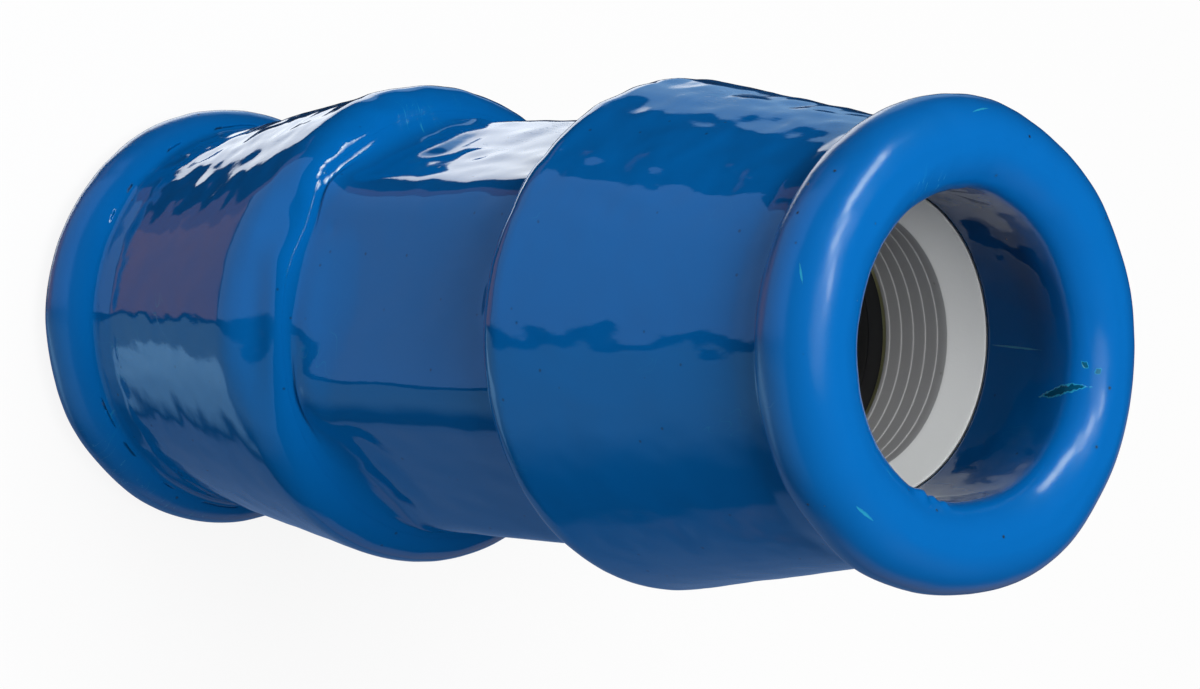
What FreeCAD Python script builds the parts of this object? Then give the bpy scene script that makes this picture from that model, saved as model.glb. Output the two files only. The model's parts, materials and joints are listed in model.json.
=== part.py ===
import FreeCAD, Part
import math
import os
import Sketcher

# Compression coupling for 1-1/4 inch pipe, in millimetres.
# The axis is +Z and the coupling stands on its bottom lip at Z = 0.
# Both ends are alike, so each end piece is drawn once, upwards from the middle plane of the body,
# and is then turned over for the bottom end.

# Driving dimensions: alias, value, meaning. Heights count from the middle plane towards one end.
SIZES = [
    ("pipe_radius", 21.1, "outside of the pipe"),
    ("pipe_play", 0.25, "between pipe and body bore"),
    ("stop_step", 2.6, "how far the pipe stop covers the pipe's end"),
    ("stop_half", 3.0, "half the length of the pipe stop"),
    ("seal_wall", 4.65, "room for the seal, bore to socket"),
    ("thread_wall", 3.5, "metal between seal socket and male thread"),
    ("undercut_depth", 1.5, "relief between hexagon and thread, under the thread"),
    ("hex_step", 2.4, "flats of the bare hexagon over the relief"),
    ("hex_half", 25.1, "half the length of the bare hexagon"),
    ("hex_rounding", 3.5, "rounding of the bare hexagon's edges"),
    ("thread_relief", 4.1, "length of the relief"),
    ("thread_length", 26.6, "length of the male thread"),
    ("thread_bevel", 1.5, "bevel at the male thread's ends"),
    ("socket_depth", 9.5, "depth of the seal socket"),
    ("socket_bevel", 0.8, "bevel at the socket's mouth"),
    ("jacket_wall", 2.5, "thickness of the blue jacket"),
    ("bond_line", 0.05, "between a jacket and its metal"),
    ("jacket_corner", 10.0, "rounding of the jacketed hexagon's edges"),
    ("collar_rise", 4.5, "round collar over the jacketed flats"),
    ("collar_land", 0.6, "straight length of the collar"),
    ("collar_dip", 0.2, "how far the collar's hollow sweep runs in under the flats"),
    ("seam", 0.3, "seam between collar and nut jacket"),
    ("thread_play", 0.1, "between male and female thread"),
    ("nut_face_cover", 2.0, "jacket over the nut's inner face"),
    ("thread_overrun", 2.2, "female thread past the body's end"),
    ("cone_step", 0.3, "wide end of the nut's inner cone, inside the male thread's radius"),
    ("cone_length", 19.3, "length of the nut's inner cone"),
    ("mouth_gap", 4.2, "between pipe and the nut's mouth"),
    ("mouth_length", 1.5, "straight length of the nut's mouth"),
    ("shoulder_wall", 14.1, "bell's shoulder over the male thread, before rounding"),
    ("shoulder_rounding", 7.0, "rounding of the bell's shoulder"),
    ("neck_rise", 4.2, "from the nut's end to where the bell has narrowed to its neck"),
    ("neck_wall", 8.9, "wall of the neck round the sleeve"),
    ("sleeve_step", 0.7, "sleeve past the nut, over the nut's mouth"),
    ("lip_rise", 12.4, "from the neck's start to the middle of the rolled lip"),
    ("lip_reach", 5.3, "from the sleeve to the middle of the rolled lip"),
    ("lip_tube", 7.7, "section radius of the rolled lip"),
    ("lip_land", 1.0, "half the width of the lip's flat land"),
    ("crease_rounding", 2.0, "hollow rounding between neck and lip"),
    ("seal_play", 0.1, "around the seal in its socket"),
    ("seal_grip", 0.55, "between pipe and the slack seal"),
    ("seal_length", 8.6, "length of the seal"),
    ("seal_bevel", 1.2, "bevel of the seal's outer edges"),
    ("squeeze", 1.0, "travel left to squeeze the seal"),
    ("flange_reach", 2.4, "flange of pressing ring and washer over the seal socket"),
    ("flange_wall", 1.6, "thickness of the pressing ring's flange"),
    ("nose_play", 0.2, "around the pressing ring's nose"),
    ("ring_play", 0.5, "between pipe and the pressing ring"),
    ("washer_wall", 0.8, "thickness of the slip washer"),
    ("washer_play", 0.35, "between pipe and the slip washer"),
    ("cone_play", 0.2, "between grip ring and the nut's cone"),
    ("grip_play", 0.25, "between pipe and the slack grip ring's ridges"),
    ("grip_recess", 0.2, "grip ring short of the nut's end"),
    ("grip_edge", 0.4, "wall of the grip ring at its mouth"),
    ("ridge_margin", 0.85, "from the grip ring's inner end to the first gap between ridges"),
    ("ridge_pitch", 2.76, "pitch of the ridges"),
    ("ridge_depth", 0.95, "depth between the ridges"),
    ("ridge_crest", 0.45, "flat crest of a ridge"),
    ("split_width", 1.6, "gap of the split in the grip ring"),
]
RIDGE_COUNT = 5
HEX_SIDES = 6

doc = FreeCAD.newDocument("coupling")
sheet = doc.addObject("Spreadsheet::Sheet", "Sizes")


class Size:
    """A length with its value and the sheet formula that it comes from."""

    def __init__(self, value, formula):
        self.value = value
        self.formula = formula

    def __add__(self, other):
        return Size(self.value + other.value, f"({self.formula} + {other.formula})")

    def __sub__(self, other):
        return Size(self.value - other.value, f"({self.formula} - {other.formula})")

    def __mul__(self, factor):
        return Size(self.value * factor, f"({self.formula} * {factor})")

    def share(self, part, whole):
        """This length times the ratio of two others."""
        formula = f"({self.formula} * {part.formula} / {whole.formula})"
        return Size(self.value * part.value / whole.value, formula)


def fill_sheet():
    """Write the driving dimensions into the sheet and return them by name."""
    sizes = {}
    for row, (alias, value, meaning) in enumerate(SIZES, start=1):
        sheet.set(f"A{row}", meaning)
        sheet.set(f"B{row}", str(value))
        sheet.setAlias(f"B{row}", alias)
        sizes[alias] = Size(value, f"Sizes.{alias}")
    doc.recompute()
    return sizes


size = fill_sheet()
ZERO = Size(0.0, "0")

# Radii that several pieces share, from the pipe outwards.
bore_radius = size["pipe_radius"] + size["pipe_play"]
stop_radius = size["pipe_radius"] - size["stop_step"]
ridge_radius = size["pipe_radius"] + size["grip_play"]
socket_radius = bore_radius + size["seal_wall"]
thread_radius = socket_radius + size["thread_wall"]
undercut_radius = thread_radius - size["undercut_depth"]
hex_apothem = undercut_radius + size["hex_step"]
skin_apothem = hex_apothem + size["jacket_wall"]
collar_radius = skin_apothem + size["collar_rise"]
flange_radius = socket_radius + size["flange_reach"]
cone_radius = thread_radius - size["cone_step"]
shoulder_radius = thread_radius + size["shoulder_wall"]
mouth_radius = size["pipe_radius"] + size["mouth_gap"]
sleeve_radius = mouth_radius + size["sleeve_step"]
neck_radius = sleeve_radius + size["neck_wall"]
lip_ring = sleeve_radius + size["lip_reach"]

# Heights that several pieces share, from the middle plane outwards.
collar_end = size["hex_half"] + size["jacket_wall"]
bell_start = collar_end + size["seam"]
nut_start = bell_start + size["nut_face_cover"]
thread_start = size["hex_half"] + size["thread_relief"]
body_half = thread_start + size["thread_length"]
socket_floor = body_half - size["socket_depth"]
nose_height = socket_floor + size["seal_length"]
flange_height = body_half + size["squeeze"]
washer_height = flange_height + size["flange_wall"]
grip_start = washer_height + size["washer_wall"]
nut_thread_end = body_half + size["thread_overrun"]
cone_end = nut_thread_end + size["cone_length"]
nut_end = cone_end + size["mouth_length"]
grip_end = nut_end - size["grip_recess"]
neck_height = nut_end + size["neck_rise"]
lip_height = neck_height + size["lip_rise"]
total_half = lip_height + size["lip_tube"]
# The land is a shallow flat on the lip's outer end.
land_depth_value = size["lip_tube"].value - math.sqrt(
    size["lip_tube"].value ** 2 - size["lip_land"].value ** 2
)
land_depth = Size(
    land_depth_value,
    "(Sizes.lip_tube - sqrt(Sizes.lip_tube ^ 2 - Sizes.lip_land ^ 2))",
)
end_height = total_half - land_depth


def origin_feature(body, role):
    """A plane or axis of the body's own origin."""
    return next(item for item in body.Origin.OriginFeatures if item.Role == role)


def bind_point(sketch, geometry, position, radius, height):
    """Hold a sketch point at a radius and a height of the sheet."""
    for kind, length in (("DistanceX", radius), ("DistanceY", height)):
        if length is ZERO:
            axis = -2 if kind == "DistanceX" else -1
            sketch.addConstraint(Sketcher.Constraint("PointOnObject", geometry, position, axis))
            continue
        number = sketch.addConstraint(
            Sketcher.Constraint(kind, -1, 1, geometry, position, length.value)
        )
        sketch.setExpression(f"Constraints[{number}]", length.formula)


def new_sketch(body, label, role="XZ_Plane"):
    sketch = body.newObject("Sketcher::SketchObject", label)
    sketch.AttachmentSupport = [(origin_feature(body, role), "")]
    sketch.MapMode = "FlatFace"
    return sketch


def draw_outline(body, label, corners, hollow=None):
    """Closed half section; corners are (radius, height).

    hollow is (edge number, arc radius): that edge is a quarter arc which bows into the material.
    """
    sketch = new_sketch(body, label)
    points = [FreeCAD.Vector(radius.value, height.value, 0) for radius, height in corners]
    count = len(points)
    for index in range(count):
        start = points[index]
        end = points[(index + 1) % count]
        if hollow and hollow[0] == index:
            sketch.addGeometry(hollow_arc(start, end, hollow[1].value))
        else:
            sketch.addGeometry(Part.LineSegment(start, end))
    for index in range(count):
        end_position = 1 if hollow and hollow[0] == index and arc_is_turned(points, index) else 2
        following = (index + 1) % count
        start_position = 2 if hollow and hollow[0] == following and arc_is_turned(points, following) else 1
        sketch.addConstraint(
            Sketcher.Constraint("Coincident", index, end_position, following, start_position)
        )
        bind_point(sketch, index, end_position, *corners[following])
    if hollow:
        number = sketch.addConstraint(Sketcher.Constraint("Radius", hollow[0], hollow[1].value))
        sketch.setExpression(f"Constraints[{number}]", hollow[1].formula)
    return sketch


def arc_is_turned(points, index):
    """Sketch arcs run anticlockwise, so an arc drawn clockwise has its ends exchanged."""
    start = points[index]
    end = points[(index + 1) % len(points)]
    return end.y > start.y


def hollow_arc(start, end, radius):
    """Quarter arc between two points, centred outside the material beside the lower radius end."""
    high = start if start.x > end.x else end
    low = end if start.x > end.x else start
    centre = FreeCAD.Vector(high.x, low.y, 0)
    circle = Part.Circle(centre, FreeCAD.Vector(0, 0, 1), radius)
    angles = sorted(
        math.atan2(point.y - centre.y, point.x - centre.x) % math.tau for point in (high, low)
    )
    return Part.ArcOfCircle(circle, *angles)


def revolve(body, sketch, label, cut=False):
    """Turn a half section round the body's axis, to add or to cut."""
    before = body.Shape.Volume if cut else 0.0
    feature = body.newObject("PartDesign::Groove" if cut else "PartDesign::Revolution", label)
    feature.Profile = sketch
    feature.ReferenceAxis = (sketch, ["V_Axis"])
    feature.Angle = 360.0
    doc.recompute()
    if cut and not feature.Shape.Volume < before:
        raise RuntimeError(f"{label} cuts nothing")
    return feature


def circle_edge(shape, radius, height):
    """Name of the round edge at a radius and a height."""
    for number, edge in enumerate(shape.Edges, start=1):
        curve = edge.Curve
        if curve.TypeId != "Part::GeomCircle":
            continue
        if abs(curve.Radius - radius) < 0.02 and abs(curve.Center.z - height) < 0.02:
            return f"Edge{number}"
    raise RuntimeError(f"no round edge of radius {radius:.2f} at height {height:.2f}")


def dress(body, base, kind, label, edges, amount):
    """Fillet or chamfer named edges of a feature by a length of the sheet."""
    feature = body.newObject(kind, label)
    feature.Base = (base, edges)
    feature.setExpression("Radius" if kind.endswith("Fillet") else "Size", amount.formula)
    doc.recompute()
    return feature


def new_body(label, height=None, turned=False):
    body = doc.addObject("PartDesign::Body", label)
    body.Label = label
    if turned:
        body.Placement.Rotation = FreeCAD.Rotation(FreeCAD.Vector(1, 0, 0), 180)
    body.setExpression("Placement.Base.z", (height or end_height).formula)
    return body


def mirror(body, features, label):
    """Repeat features below the middle plane."""
    feature = body.newObject("PartDesign::Mirrored", label)
    feature.Originals = features
    feature.MirrorPlane = (origin_feature(body, "XY_Plane"), [""])
    body.Tip = feature
    doc.recompute()
    return feature


def hex_prism(body, kind, label, apothem, half):
    """Six-sided prism about the middle plane, corners on +X and -X."""
    prism = body.newObject(kind, label)
    prism.AttachmentSupport = [(origin_feature(body, "XY_Plane"), "")]
    prism.MapMode = "FlatFace"
    prism.Polygon = HEX_SIDES
    prism.setExpression("Circumradius", f"{apothem.formula} / cos(180deg / {HEX_SIDES})")
    prism.setExpression("Height", (half * 2).formula)
    prism.setExpression("AttachmentOffset.Base.z", f"-{half.formula}")
    doc.recompute()
    return prism


def upright_edges(shape):
    """Names of the straight edges that run along the axis."""
    names = []
    for number, edge in enumerate(shape.Edges, start=1):
        if edge.Curve.TypeId != "Part::GeomLine":
            continue
        first, last = edge.Vertexes[0].Point, edge.Vertexes[-1].Point
        if math.hypot(first.x - last.x, first.y - last.y) < 0.01:
            names.append(f"Edge{number}")
    return names


def make_body():
    """Metal body: hexagon in the middle, male thread, pipe bore, stop and seal socket each way."""
    body = new_body("body")
    prism = hex_prism(body, "PartDesign::AdditivePrism", "hexagon", hex_apothem, size["hex_half"])
    rounded = dress(
        body, prism, "PartDesign::Fillet", "hexagon_edges", upright_edges(prism.Shape), size["hex_rounding"]
    )
    bevel = size["thread_bevel"]
    spigot = revolve(
        body,
        draw_outline(body, "spigot_outline", [
            (stop_radius, ZERO),
            (undercut_radius, ZERO),
            (undercut_radius, thread_start - bevel),
            (thread_radius, thread_start),
            (thread_radius, body_half - bevel),
            (thread_radius - bevel, body_half),
            (stop_radius, body_half),
        ]),
        "spigot",
    )
    mirror(body, [spigot], "spigot_below")
    bore = revolve(
        body,
        draw_outline(body, "bore_outline", [
            (ZERO, ZERO),
            (stop_radius, ZERO),
            (stop_radius, size["stop_half"]),
            (bore_radius, size["stop_half"]),
            (bore_radius, socket_floor),
            (socket_radius, socket_floor),
            (socket_radius, body_half - size["socket_bevel"]),
            (socket_radius + size["socket_bevel"], body_half),
            (ZERO, body_half),
        ]),
        "bore",
        cut=True,
    )
    mirror(body, [bore], "bore_below")
    return body


def make_body_jacket():
    """Blue skin of the hexagon, with a round collar each way that sweeps down to the flats."""
    body = new_body("body_jacket")
    prism = hex_prism(body, "PartDesign::AdditivePrism", "skin", skin_apothem, size["hex_half"])
    dress(
        body, prism, "PartDesign::Fillet", "skin_edges", upright_edges(prism.Shape), size["jacket_corner"]
    )
    collar_low = collar_end - size["collar_land"]
    sweep = size["collar_rise"] + size["collar_dip"]
    sweep_low = collar_low - sweep
    inner = undercut_radius + size["bond_line"]
    collar = revolve(
        body,
        draw_outline(body, "collar_outline", [
            (inner, collar_end),
            (inner, sweep_low),
            (collar_radius - sweep, sweep_low),
            (collar_radius, collar_low),
            (collar_radius, collar_end),
        ], hollow=(2, sweep)),
        "collar",
    )
    mirror(body, [collar], "collar_below")
    hex_prism(
        body, "PartDesign::SubtractivePrism", "hexagon_space",
        hex_apothem + size["bond_line"], size["hex_half"] + size["bond_line"],
    )
    hole = body.newObject("PartDesign::SubtractiveCylinder", "spigot_space")
    hole.AttachmentSupport = [(origin_feature(body, "XY_Plane"), "")]
    hole.MapMode = "FlatFace"
    hole.setExpression("Radius", inner.formula)
    hole.setExpression("Height", (collar_end * 2).formula)
    hole.setExpression("AttachmentOffset.Base.z", f"-{collar_end.formula}")
    doc.recompute()
    return body


def bell_radius(height):
    """The bell's straight taper, from its shoulder to its neck, at a height."""
    fall = shoulder_radius - neck_radius
    return shoulder_radius - fall.share(height - bell_start, neck_height - bell_start)


def make_nut(end, turned):
    """Gland nut: female thread, then a cone that closes on the grip ring, and the mouth."""
    body = new_body(f"{end}_nut", turned=turned)
    thread = thread_radius + size["thread_play"]
    turned_nut = revolve(
        body,
        draw_outline(body, f"{end}_nut_outline", [
            (thread, nut_start),
            (bell_radius(nut_start) - size["jacket_wall"], nut_start),
            (bell_radius(nut_end) - size["jacket_wall"], nut_end),
            (mouth_radius, nut_end),
            (mouth_radius, cone_end),
            (cone_radius, nut_thread_end),
            (thread, nut_thread_end),
        ]),
        f"{end}_nut_turned",
    )
    shoulder = circle_edge(
        turned_nut.Shape, (bell_radius(nut_start) - size["jacket_wall"]).value, nut_start.value
    )
    dress(
        body, turned_nut, "PartDesign::Fillet", f"{end}_nut_shoulder", [shoulder],
        size["shoulder_rounding"] - size["nut_face_cover"],
    )
    return body


def make_nut_jacket(end, turned):
    """Blue bell of the nut: rounded shoulder, long taper, neck, rolled lip and the sleeve inside."""
    body = new_body(f"{end}_nut_jacket", turned=turned)
    bond = size["bond_line"]
    metal_wall = size["jacket_wall"] - bond
    bell = revolve(
        body,
        draw_outline(body, f"{end}_bell_outline", [
            (sleeve_radius, bell_start),
            (shoulder_radius, bell_start),
            (neck_radius, neck_height),
            (neck_radius, lip_height),
            (sleeve_radius, lip_height),
        ]),
        f"{end}_bell",
    )
    thread_hole = thread_radius + size["thread_play"]
    space = revolve(
        body,
        draw_outline(body, f"{end}_nut_space", [
            (ZERO, bell_start),
            (thread_hole, bell_start),
            (thread_hole, nut_start - bond),
            (bell_radius(nut_start) - metal_wall, nut_start - bond),
            (bell_radius(nut_end) - metal_wall, nut_end + bond),
            (ZERO, nut_end + bond),
        ]),
        f"{end}_nut_room",
        cut=True,
    )
    corner = circle_edge(
        space.Shape, (bell_radius(nut_start) - metal_wall).value, (nut_start - bond).value
    )
    rounded = dress(
        body, space, "PartDesign::Fillet", f"{end}_nut_room_shoulder", [corner],
        size["shoulder_rounding"] - size["nut_face_cover"],
    )
    shoulder = circle_edge(rounded.Shape, shoulder_radius.value, bell_start.value)
    dress(
        body, rounded, "PartDesign::Fillet", f"{end}_bell_shoulder", [shoulder], size["shoulder_rounding"]
    )
    ring = new_sketch(body, f"{end}_lip_section")
    centre = FreeCAD.Vector(lip_ring.value, lip_height.value, 0)
    ring.addGeometry(Part.Circle(centre, FreeCAD.Vector(0, 0, 1), size["lip_tube"].value))
    bind_point(ring, 0, 3, lip_ring, lip_height)
    number = ring.addConstraint(Sketcher.Constraint("Radius", 0, size["lip_tube"].value))
    ring.setExpression(f"Constraints[{number}]", size["lip_tube"].formula)
    lip = revolve(body, ring, f"{end}_lip")
    rise = math.sqrt(
        size["lip_tube"].value ** 2 - (neck_radius.value - lip_ring.value) ** 2
    )
    crease = circle_edge(lip.Shape, neck_radius.value, lip_height.value - rise)
    dress(
        body, lip, "PartDesign::Fillet", f"{end}_crease", [crease], size["crease_rounding"]
    )
    revolve(
        body,
        draw_outline(body, f"{end}_land_outline", [
            (ZERO, end_height),
            (lip_ring + size["lip_tube"], end_height),
            (lip_ring + size["lip_tube"], total_half),
            (ZERO, total_half),
        ]),
        f"{end}_land",
        cut=True,
    )
    return body


def make_seal(end, turned):
    """Rubber ring in the body's socket, bevelled where it is squeezed."""
    body = new_body(f"{end}_seal", turned=turned)
    inner = size["pipe_radius"] + size["seal_grip"]
    outer = socket_radius - size["seal_play"]
    bevel = size["seal_bevel"]
    revolve(
        body,
        draw_outline(body, f"{end}_seal_outline", [
            (inner, socket_floor),
            (outer - bevel, socket_floor),
            (outer, socket_floor + bevel),
            (outer, nose_height - bevel),
            (outer - bevel, nose_height),
            (inner, nose_height),
        ]),
        f"{end}_seal_turned",
    )
    return body


def make_pressing_ring(end, turned):
    """Flanged ring whose nose enters the socket and pushes on the seal."""
    body = new_body(f"{end}_pressing_ring", turned=turned)
    inner = size["pipe_radius"] + size["ring_play"]
    nose = socket_radius - size["nose_play"]
    revolve(
        body,
        draw_outline(body, f"{end}_pressing_outline", [
            (inner, nose_height),
            (nose, nose_height),
            (nose, flange_height),
            (flange_radius, flange_height),
            (flange_radius, washer_height),
            (inner, washer_height),
        ]),
        f"{end}_pressing_turned",
    )
    return body


def make_slip_washer(end, turned):
    """Thin plated washer that lets the grip ring slip on the pressing ring."""
    body = new_body(f"{end}_slip_washer", turned=turned)
    inner = size["pipe_radius"] + size["washer_play"]
    revolve(
        body,
        draw_outline(body, f"{end}_washer_outline", [
            (inner, washer_height),
            (flange_radius, washer_height),
            (flange_radius, grip_start),
            (inner, grip_start),
        ]),
        f"{end}_washer_turned",
    )
    return body


def make_grip_ring(end, turned):
    """Split white ring: cone outside, lead-in and sharp ridges inside that hold the pipe."""
    body = new_body(f"{end}_grip_ring", turned=turned)
    play = size["cone_play"]
    cone_fall = cone_radius - mouth_radius
    cone_length = cone_end - nut_thread_end
    start_fall = cone_fall.share(grip_start - nut_thread_end, cone_length)
    first = grip_start + size["ridge_margin"]
    lead_height = first + size["ridge_pitch"] * RIDGE_COUNT - size["ridge_crest"]
    mouth = mouth_radius - play
    ring = revolve(
        body,
        draw_outline(body, f"{end}_grip_outline", [
            (ridge_radius, grip_start),
            (cone_radius - play - start_fall, grip_start),
            (mouth, cone_end),
            (mouth, grip_end),
            (mouth - size["grip_edge"], grip_end),
            (ridge_radius, lead_height),
        ]),
        f"{end}_grip_turned",
    )
    # Each gap deepens towards the mouth and ends in a steep face, so a pipe slides in but not out.
    reach = size["ridge_crest"]
    run = size["ridge_pitch"] - size["ridge_crest"]
    gap = revolve(
        body,
        draw_outline(body, f"{end}_ridge_gap", [
            (ridge_radius - reach, first),
            (ridge_radius, first),
            (ridge_radius + size["ridge_depth"], first + run),
            (ridge_radius - reach, first + run),
        ]),
        f"{end}_ridge_cut",
        cut=True,
    )
    pattern = body.newObject("PartDesign::LinearPattern", f"{end}_ridges")
    pattern.Originals = [gap]
    pattern.Direction = (origin_feature(body, "Z_Axis"), [""])
    pattern.Occurrences = RIDGE_COUNT
    pattern.setExpression("Length", (size["ridge_pitch"] * (RIDGE_COUNT - 1)).formula)
    body.Tip = pattern
    doc.recompute()
    split = new_sketch(body, f"{end}_split_outline", "XY_Plane")
    half = size["split_width"].value / 2
    reach_out = cone_radius.value
    corners = [(-half, 0), (half, 0), (half, -reach_out), (-half, -reach_out)]
    vectors = [FreeCAD.Vector(x, y, 0) for x, y in corners]
    for index in range(4):
        split.addGeometry(Part.LineSegment(vectors[index], vectors[(index + 1) % 4]))
        split.addConstraint(Sketcher.Constraint("Horizontal" if index % 2 == 0 else "Vertical", index))
    for index in range(4):
        split.addConstraint(Sketcher.Constraint("Coincident", index, 2, (index + 1) % 4, 1))
    split.addConstraint(Sketcher.Constraint("Symmetric", 0, 1, 0, 2, -1, 1))
    width = split.addConstraint(Sketcher.Constraint("DistanceX", 0, 1, 0, 2, half * 2))
    split.setExpression(f"Constraints[{width}]", size["split_width"].formula)
    depth = split.addConstraint(Sketcher.Constraint("DistanceY", 1, 2, 1, 1, reach_out))
    split.setExpression(f"Constraints[{depth}]", cone_radius.formula)
    slot = body.newObject("PartDesign::Pocket", f"{end}_split")
    slot.Profile = split
    slot.Reversed = True
    slot.setExpression("Length", nut_end.formula)
    doc.recompute()
    if not slot.Shape.Volume < pattern.Shape.Volume < ring.Shape.Volume:
        raise RuntimeError(f"{end} grip ring is not cut")
    return body


def build():
    pieces = [make_body(), make_body_jacket()]
    for end, turned in (("top", False), ("bottom", True)):
        for maker in (
            make_nut, make_nut_jacket, make_seal, make_pressing_ring, make_slip_washer, make_grip_ring,
        ):
            pieces.append(maker(end, turned))
    doc.recompute()
    return pieces


def check_and_write(pieces):
    """Stop on a failed object or a broken shape, then write one file for each piece."""
    for item in doc.Objects:
        if "Invalid" in item.State or "Error" in item.State:
            raise RuntimeError(f"{item.Name} failed: {item.State}")
    for piece in pieces:
        if piece.Shape.isNull() or not piece.Shape.isValid() or len(piece.Shape.Solids) != 1:
            raise RuntimeError(f"{piece.Label} has no sound single solid")
    os.makedirs("parts", exist_ok=True)
    for piece in pieces:
        piece.Shape.exportStep(f"parts/{piece.Label}.step")
        box = piece.Shape.BoundBox
        print(f"{piece.Label}: {piece.Shape.Volume:.0f} mm3, z {box.ZMin:.2f} to {box.ZMax:.2f}")


check_and_write(build())
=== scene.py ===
"""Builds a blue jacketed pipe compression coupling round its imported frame.

Shapes are worked out in millimetres as a radius and a height from the body's middle plane. Both ends are
alike, so each end piece is worked out once, upwards, and the bottom one is turned over about the X axis.
"""
import json
import math

import bpy
import numpy as np
from bpy.props import FloatProperty, FloatVectorProperty, IntProperty, PointerProperty
from mathutils import Matrix, Vector

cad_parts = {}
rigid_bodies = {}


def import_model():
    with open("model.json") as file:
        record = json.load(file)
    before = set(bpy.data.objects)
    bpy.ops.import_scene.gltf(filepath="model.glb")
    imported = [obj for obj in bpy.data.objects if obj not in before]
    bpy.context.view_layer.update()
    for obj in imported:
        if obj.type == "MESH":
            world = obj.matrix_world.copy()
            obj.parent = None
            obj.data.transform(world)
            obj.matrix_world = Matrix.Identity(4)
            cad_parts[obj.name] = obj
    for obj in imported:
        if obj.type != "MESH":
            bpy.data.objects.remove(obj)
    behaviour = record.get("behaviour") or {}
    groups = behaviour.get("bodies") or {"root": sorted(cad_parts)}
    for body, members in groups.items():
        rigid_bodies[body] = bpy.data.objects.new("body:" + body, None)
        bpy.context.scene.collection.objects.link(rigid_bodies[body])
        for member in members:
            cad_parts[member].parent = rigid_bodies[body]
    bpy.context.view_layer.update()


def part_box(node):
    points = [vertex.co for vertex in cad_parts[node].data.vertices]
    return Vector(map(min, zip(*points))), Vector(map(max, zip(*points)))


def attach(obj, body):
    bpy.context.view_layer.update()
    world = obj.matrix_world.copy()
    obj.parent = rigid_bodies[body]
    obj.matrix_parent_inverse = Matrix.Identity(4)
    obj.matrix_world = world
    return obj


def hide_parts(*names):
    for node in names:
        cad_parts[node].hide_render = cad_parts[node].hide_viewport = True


bl_info = {
    "name": "Compression coupling",
    "version": (1, 0, 0),
    "blender": (4, 5, 0),
    "location": "3D View > Sidebar > Coupling",
    "description": "Builds a jacketed pipe compression coupling round its packed frame",
    "category": "Add Mesh",
}

for item in list(bpy.data.objects):
    bpy.data.objects.remove(item)
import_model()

ENDS = {"top": 1, "bottom": -1}
MM = 0.001
# In millimetres: the play between metal and skin, the gap where the hexagon's skin meets the bottom bell's,
# and the small bevel of the edges there.
FIT = 0.05
SKIN_GAP = 0.02
SEAM = 0.03
MIDDLE = (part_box("body")[0].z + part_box("body")[1].z) / 2 / MM


def levels(node_name):
    """Lowest and highest level of a CAD node, in millimetres from the middle plane."""
    low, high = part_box(node_name)
    return low.z / MM - MIDDLE, high.z / MM - MIDDLE


def reach(node_name):
    """Outer radius of a round CAD node, in millimetres."""
    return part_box(node_name)[1].x / MM


BODY_END = levels("body")[1]
COLLAR_END = levels("body_jacket")[1]
BELL_START, BELL_END = levels("top_nut_jacket")
NUT_START, NUT_END = levels("top_nut")
SEAL_START, SEAL_END = levels("top_seal")
PUSHER_START, PUSHER_END = levels("top_pressing_ring")
WASHER_START, WASHER_END = levels("top_slip_washer")
GRIP_START, GRIP_END = levels("top_grip_ring")


def length(label, description, millimetres):
    """A length property with its default in millimetres."""
    return FloatProperty(
        name=label, description=description, default=millimetres * MM, min=0.0, precision=5, unit="LENGTH"
    )


def tone(label, description, red, green, blue):
    """A colour property with a scene linear default."""
    return FloatVectorProperty(
        name=label, description=description, default=(red, green, blue), size=3, min=0.0, max=1.0,
        subtype="COLOR",
    )


class CouplingSkinSizes(bpy.types.PropertyGroup):
    """Sizes of the blue jackets."""

    wall: length("Wall", "Thickness of the blue jacket", 2.45)
    shoulder_radius: length("Shoulder", "Radius of the bell at its shoulder, before rounding", 43.6)
    shoulder_rounding: length("Shoulder rounding", "Rounding of the bell's shoulder", 7.0)
    neck_radius: length("Neck", "Radius of the bell's neck", 34.9)
    neck_height: length("Neck height", "Where the taper meets the neck", 83.0)
    neck_rounding: length("Neck rounding", "Soft bend between taper and neck", 12.0)
    crease_rounding: length("Crease", "Hollow rounding between neck and lip", 2.0)
    lip_ring: length("Lip ring", "Radius of the rolled lip's middle line", 31.3)
    lip_height: length("Lip height", "Height of the rolled lip's middle line", 95.4)
    lip_tube: length("Lip thickness", "Section radius of the rolled lip", 7.7)
    sleeve_radius: length("Sleeve", "Inside radius of the mouth's sleeve at its foot", 25.15)
    sleeve_rounding: length("Sleeve rounding", "Rounding of the lip's inner edge, where the sleeve ends", 5.0)
    flats: length("Flats", "Half the width across the jacketed hexagon's flats", 32.9)
    corner_rounding: length("Corners", "Rounding of the jacketed hexagon's edges", 10.0)
    collar_radius: length("Collar", "Radius of the hexagon's round collars", 37.4)
    collar_sweep: length("Collar sweep", "Hollow sweep from the flats up to the collar", 4.7)
    collar_land: length("Collar land", "Straight length of the collar", 0.6)
    hump_rounding: length("Hump rounding", "Rounding of the bottom bell where it runs into the hexagon", 8.0)
    hump_height: length("Hump height", "Where the bottom bell's hump is widest", 35.1)
    wave_length: length("Wave length", "Usual length of the moulding waves in the skin", 9.0)
    wave_height: length("Wave height", "Usual height of the moulding waves in the skin", 0.025)


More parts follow.
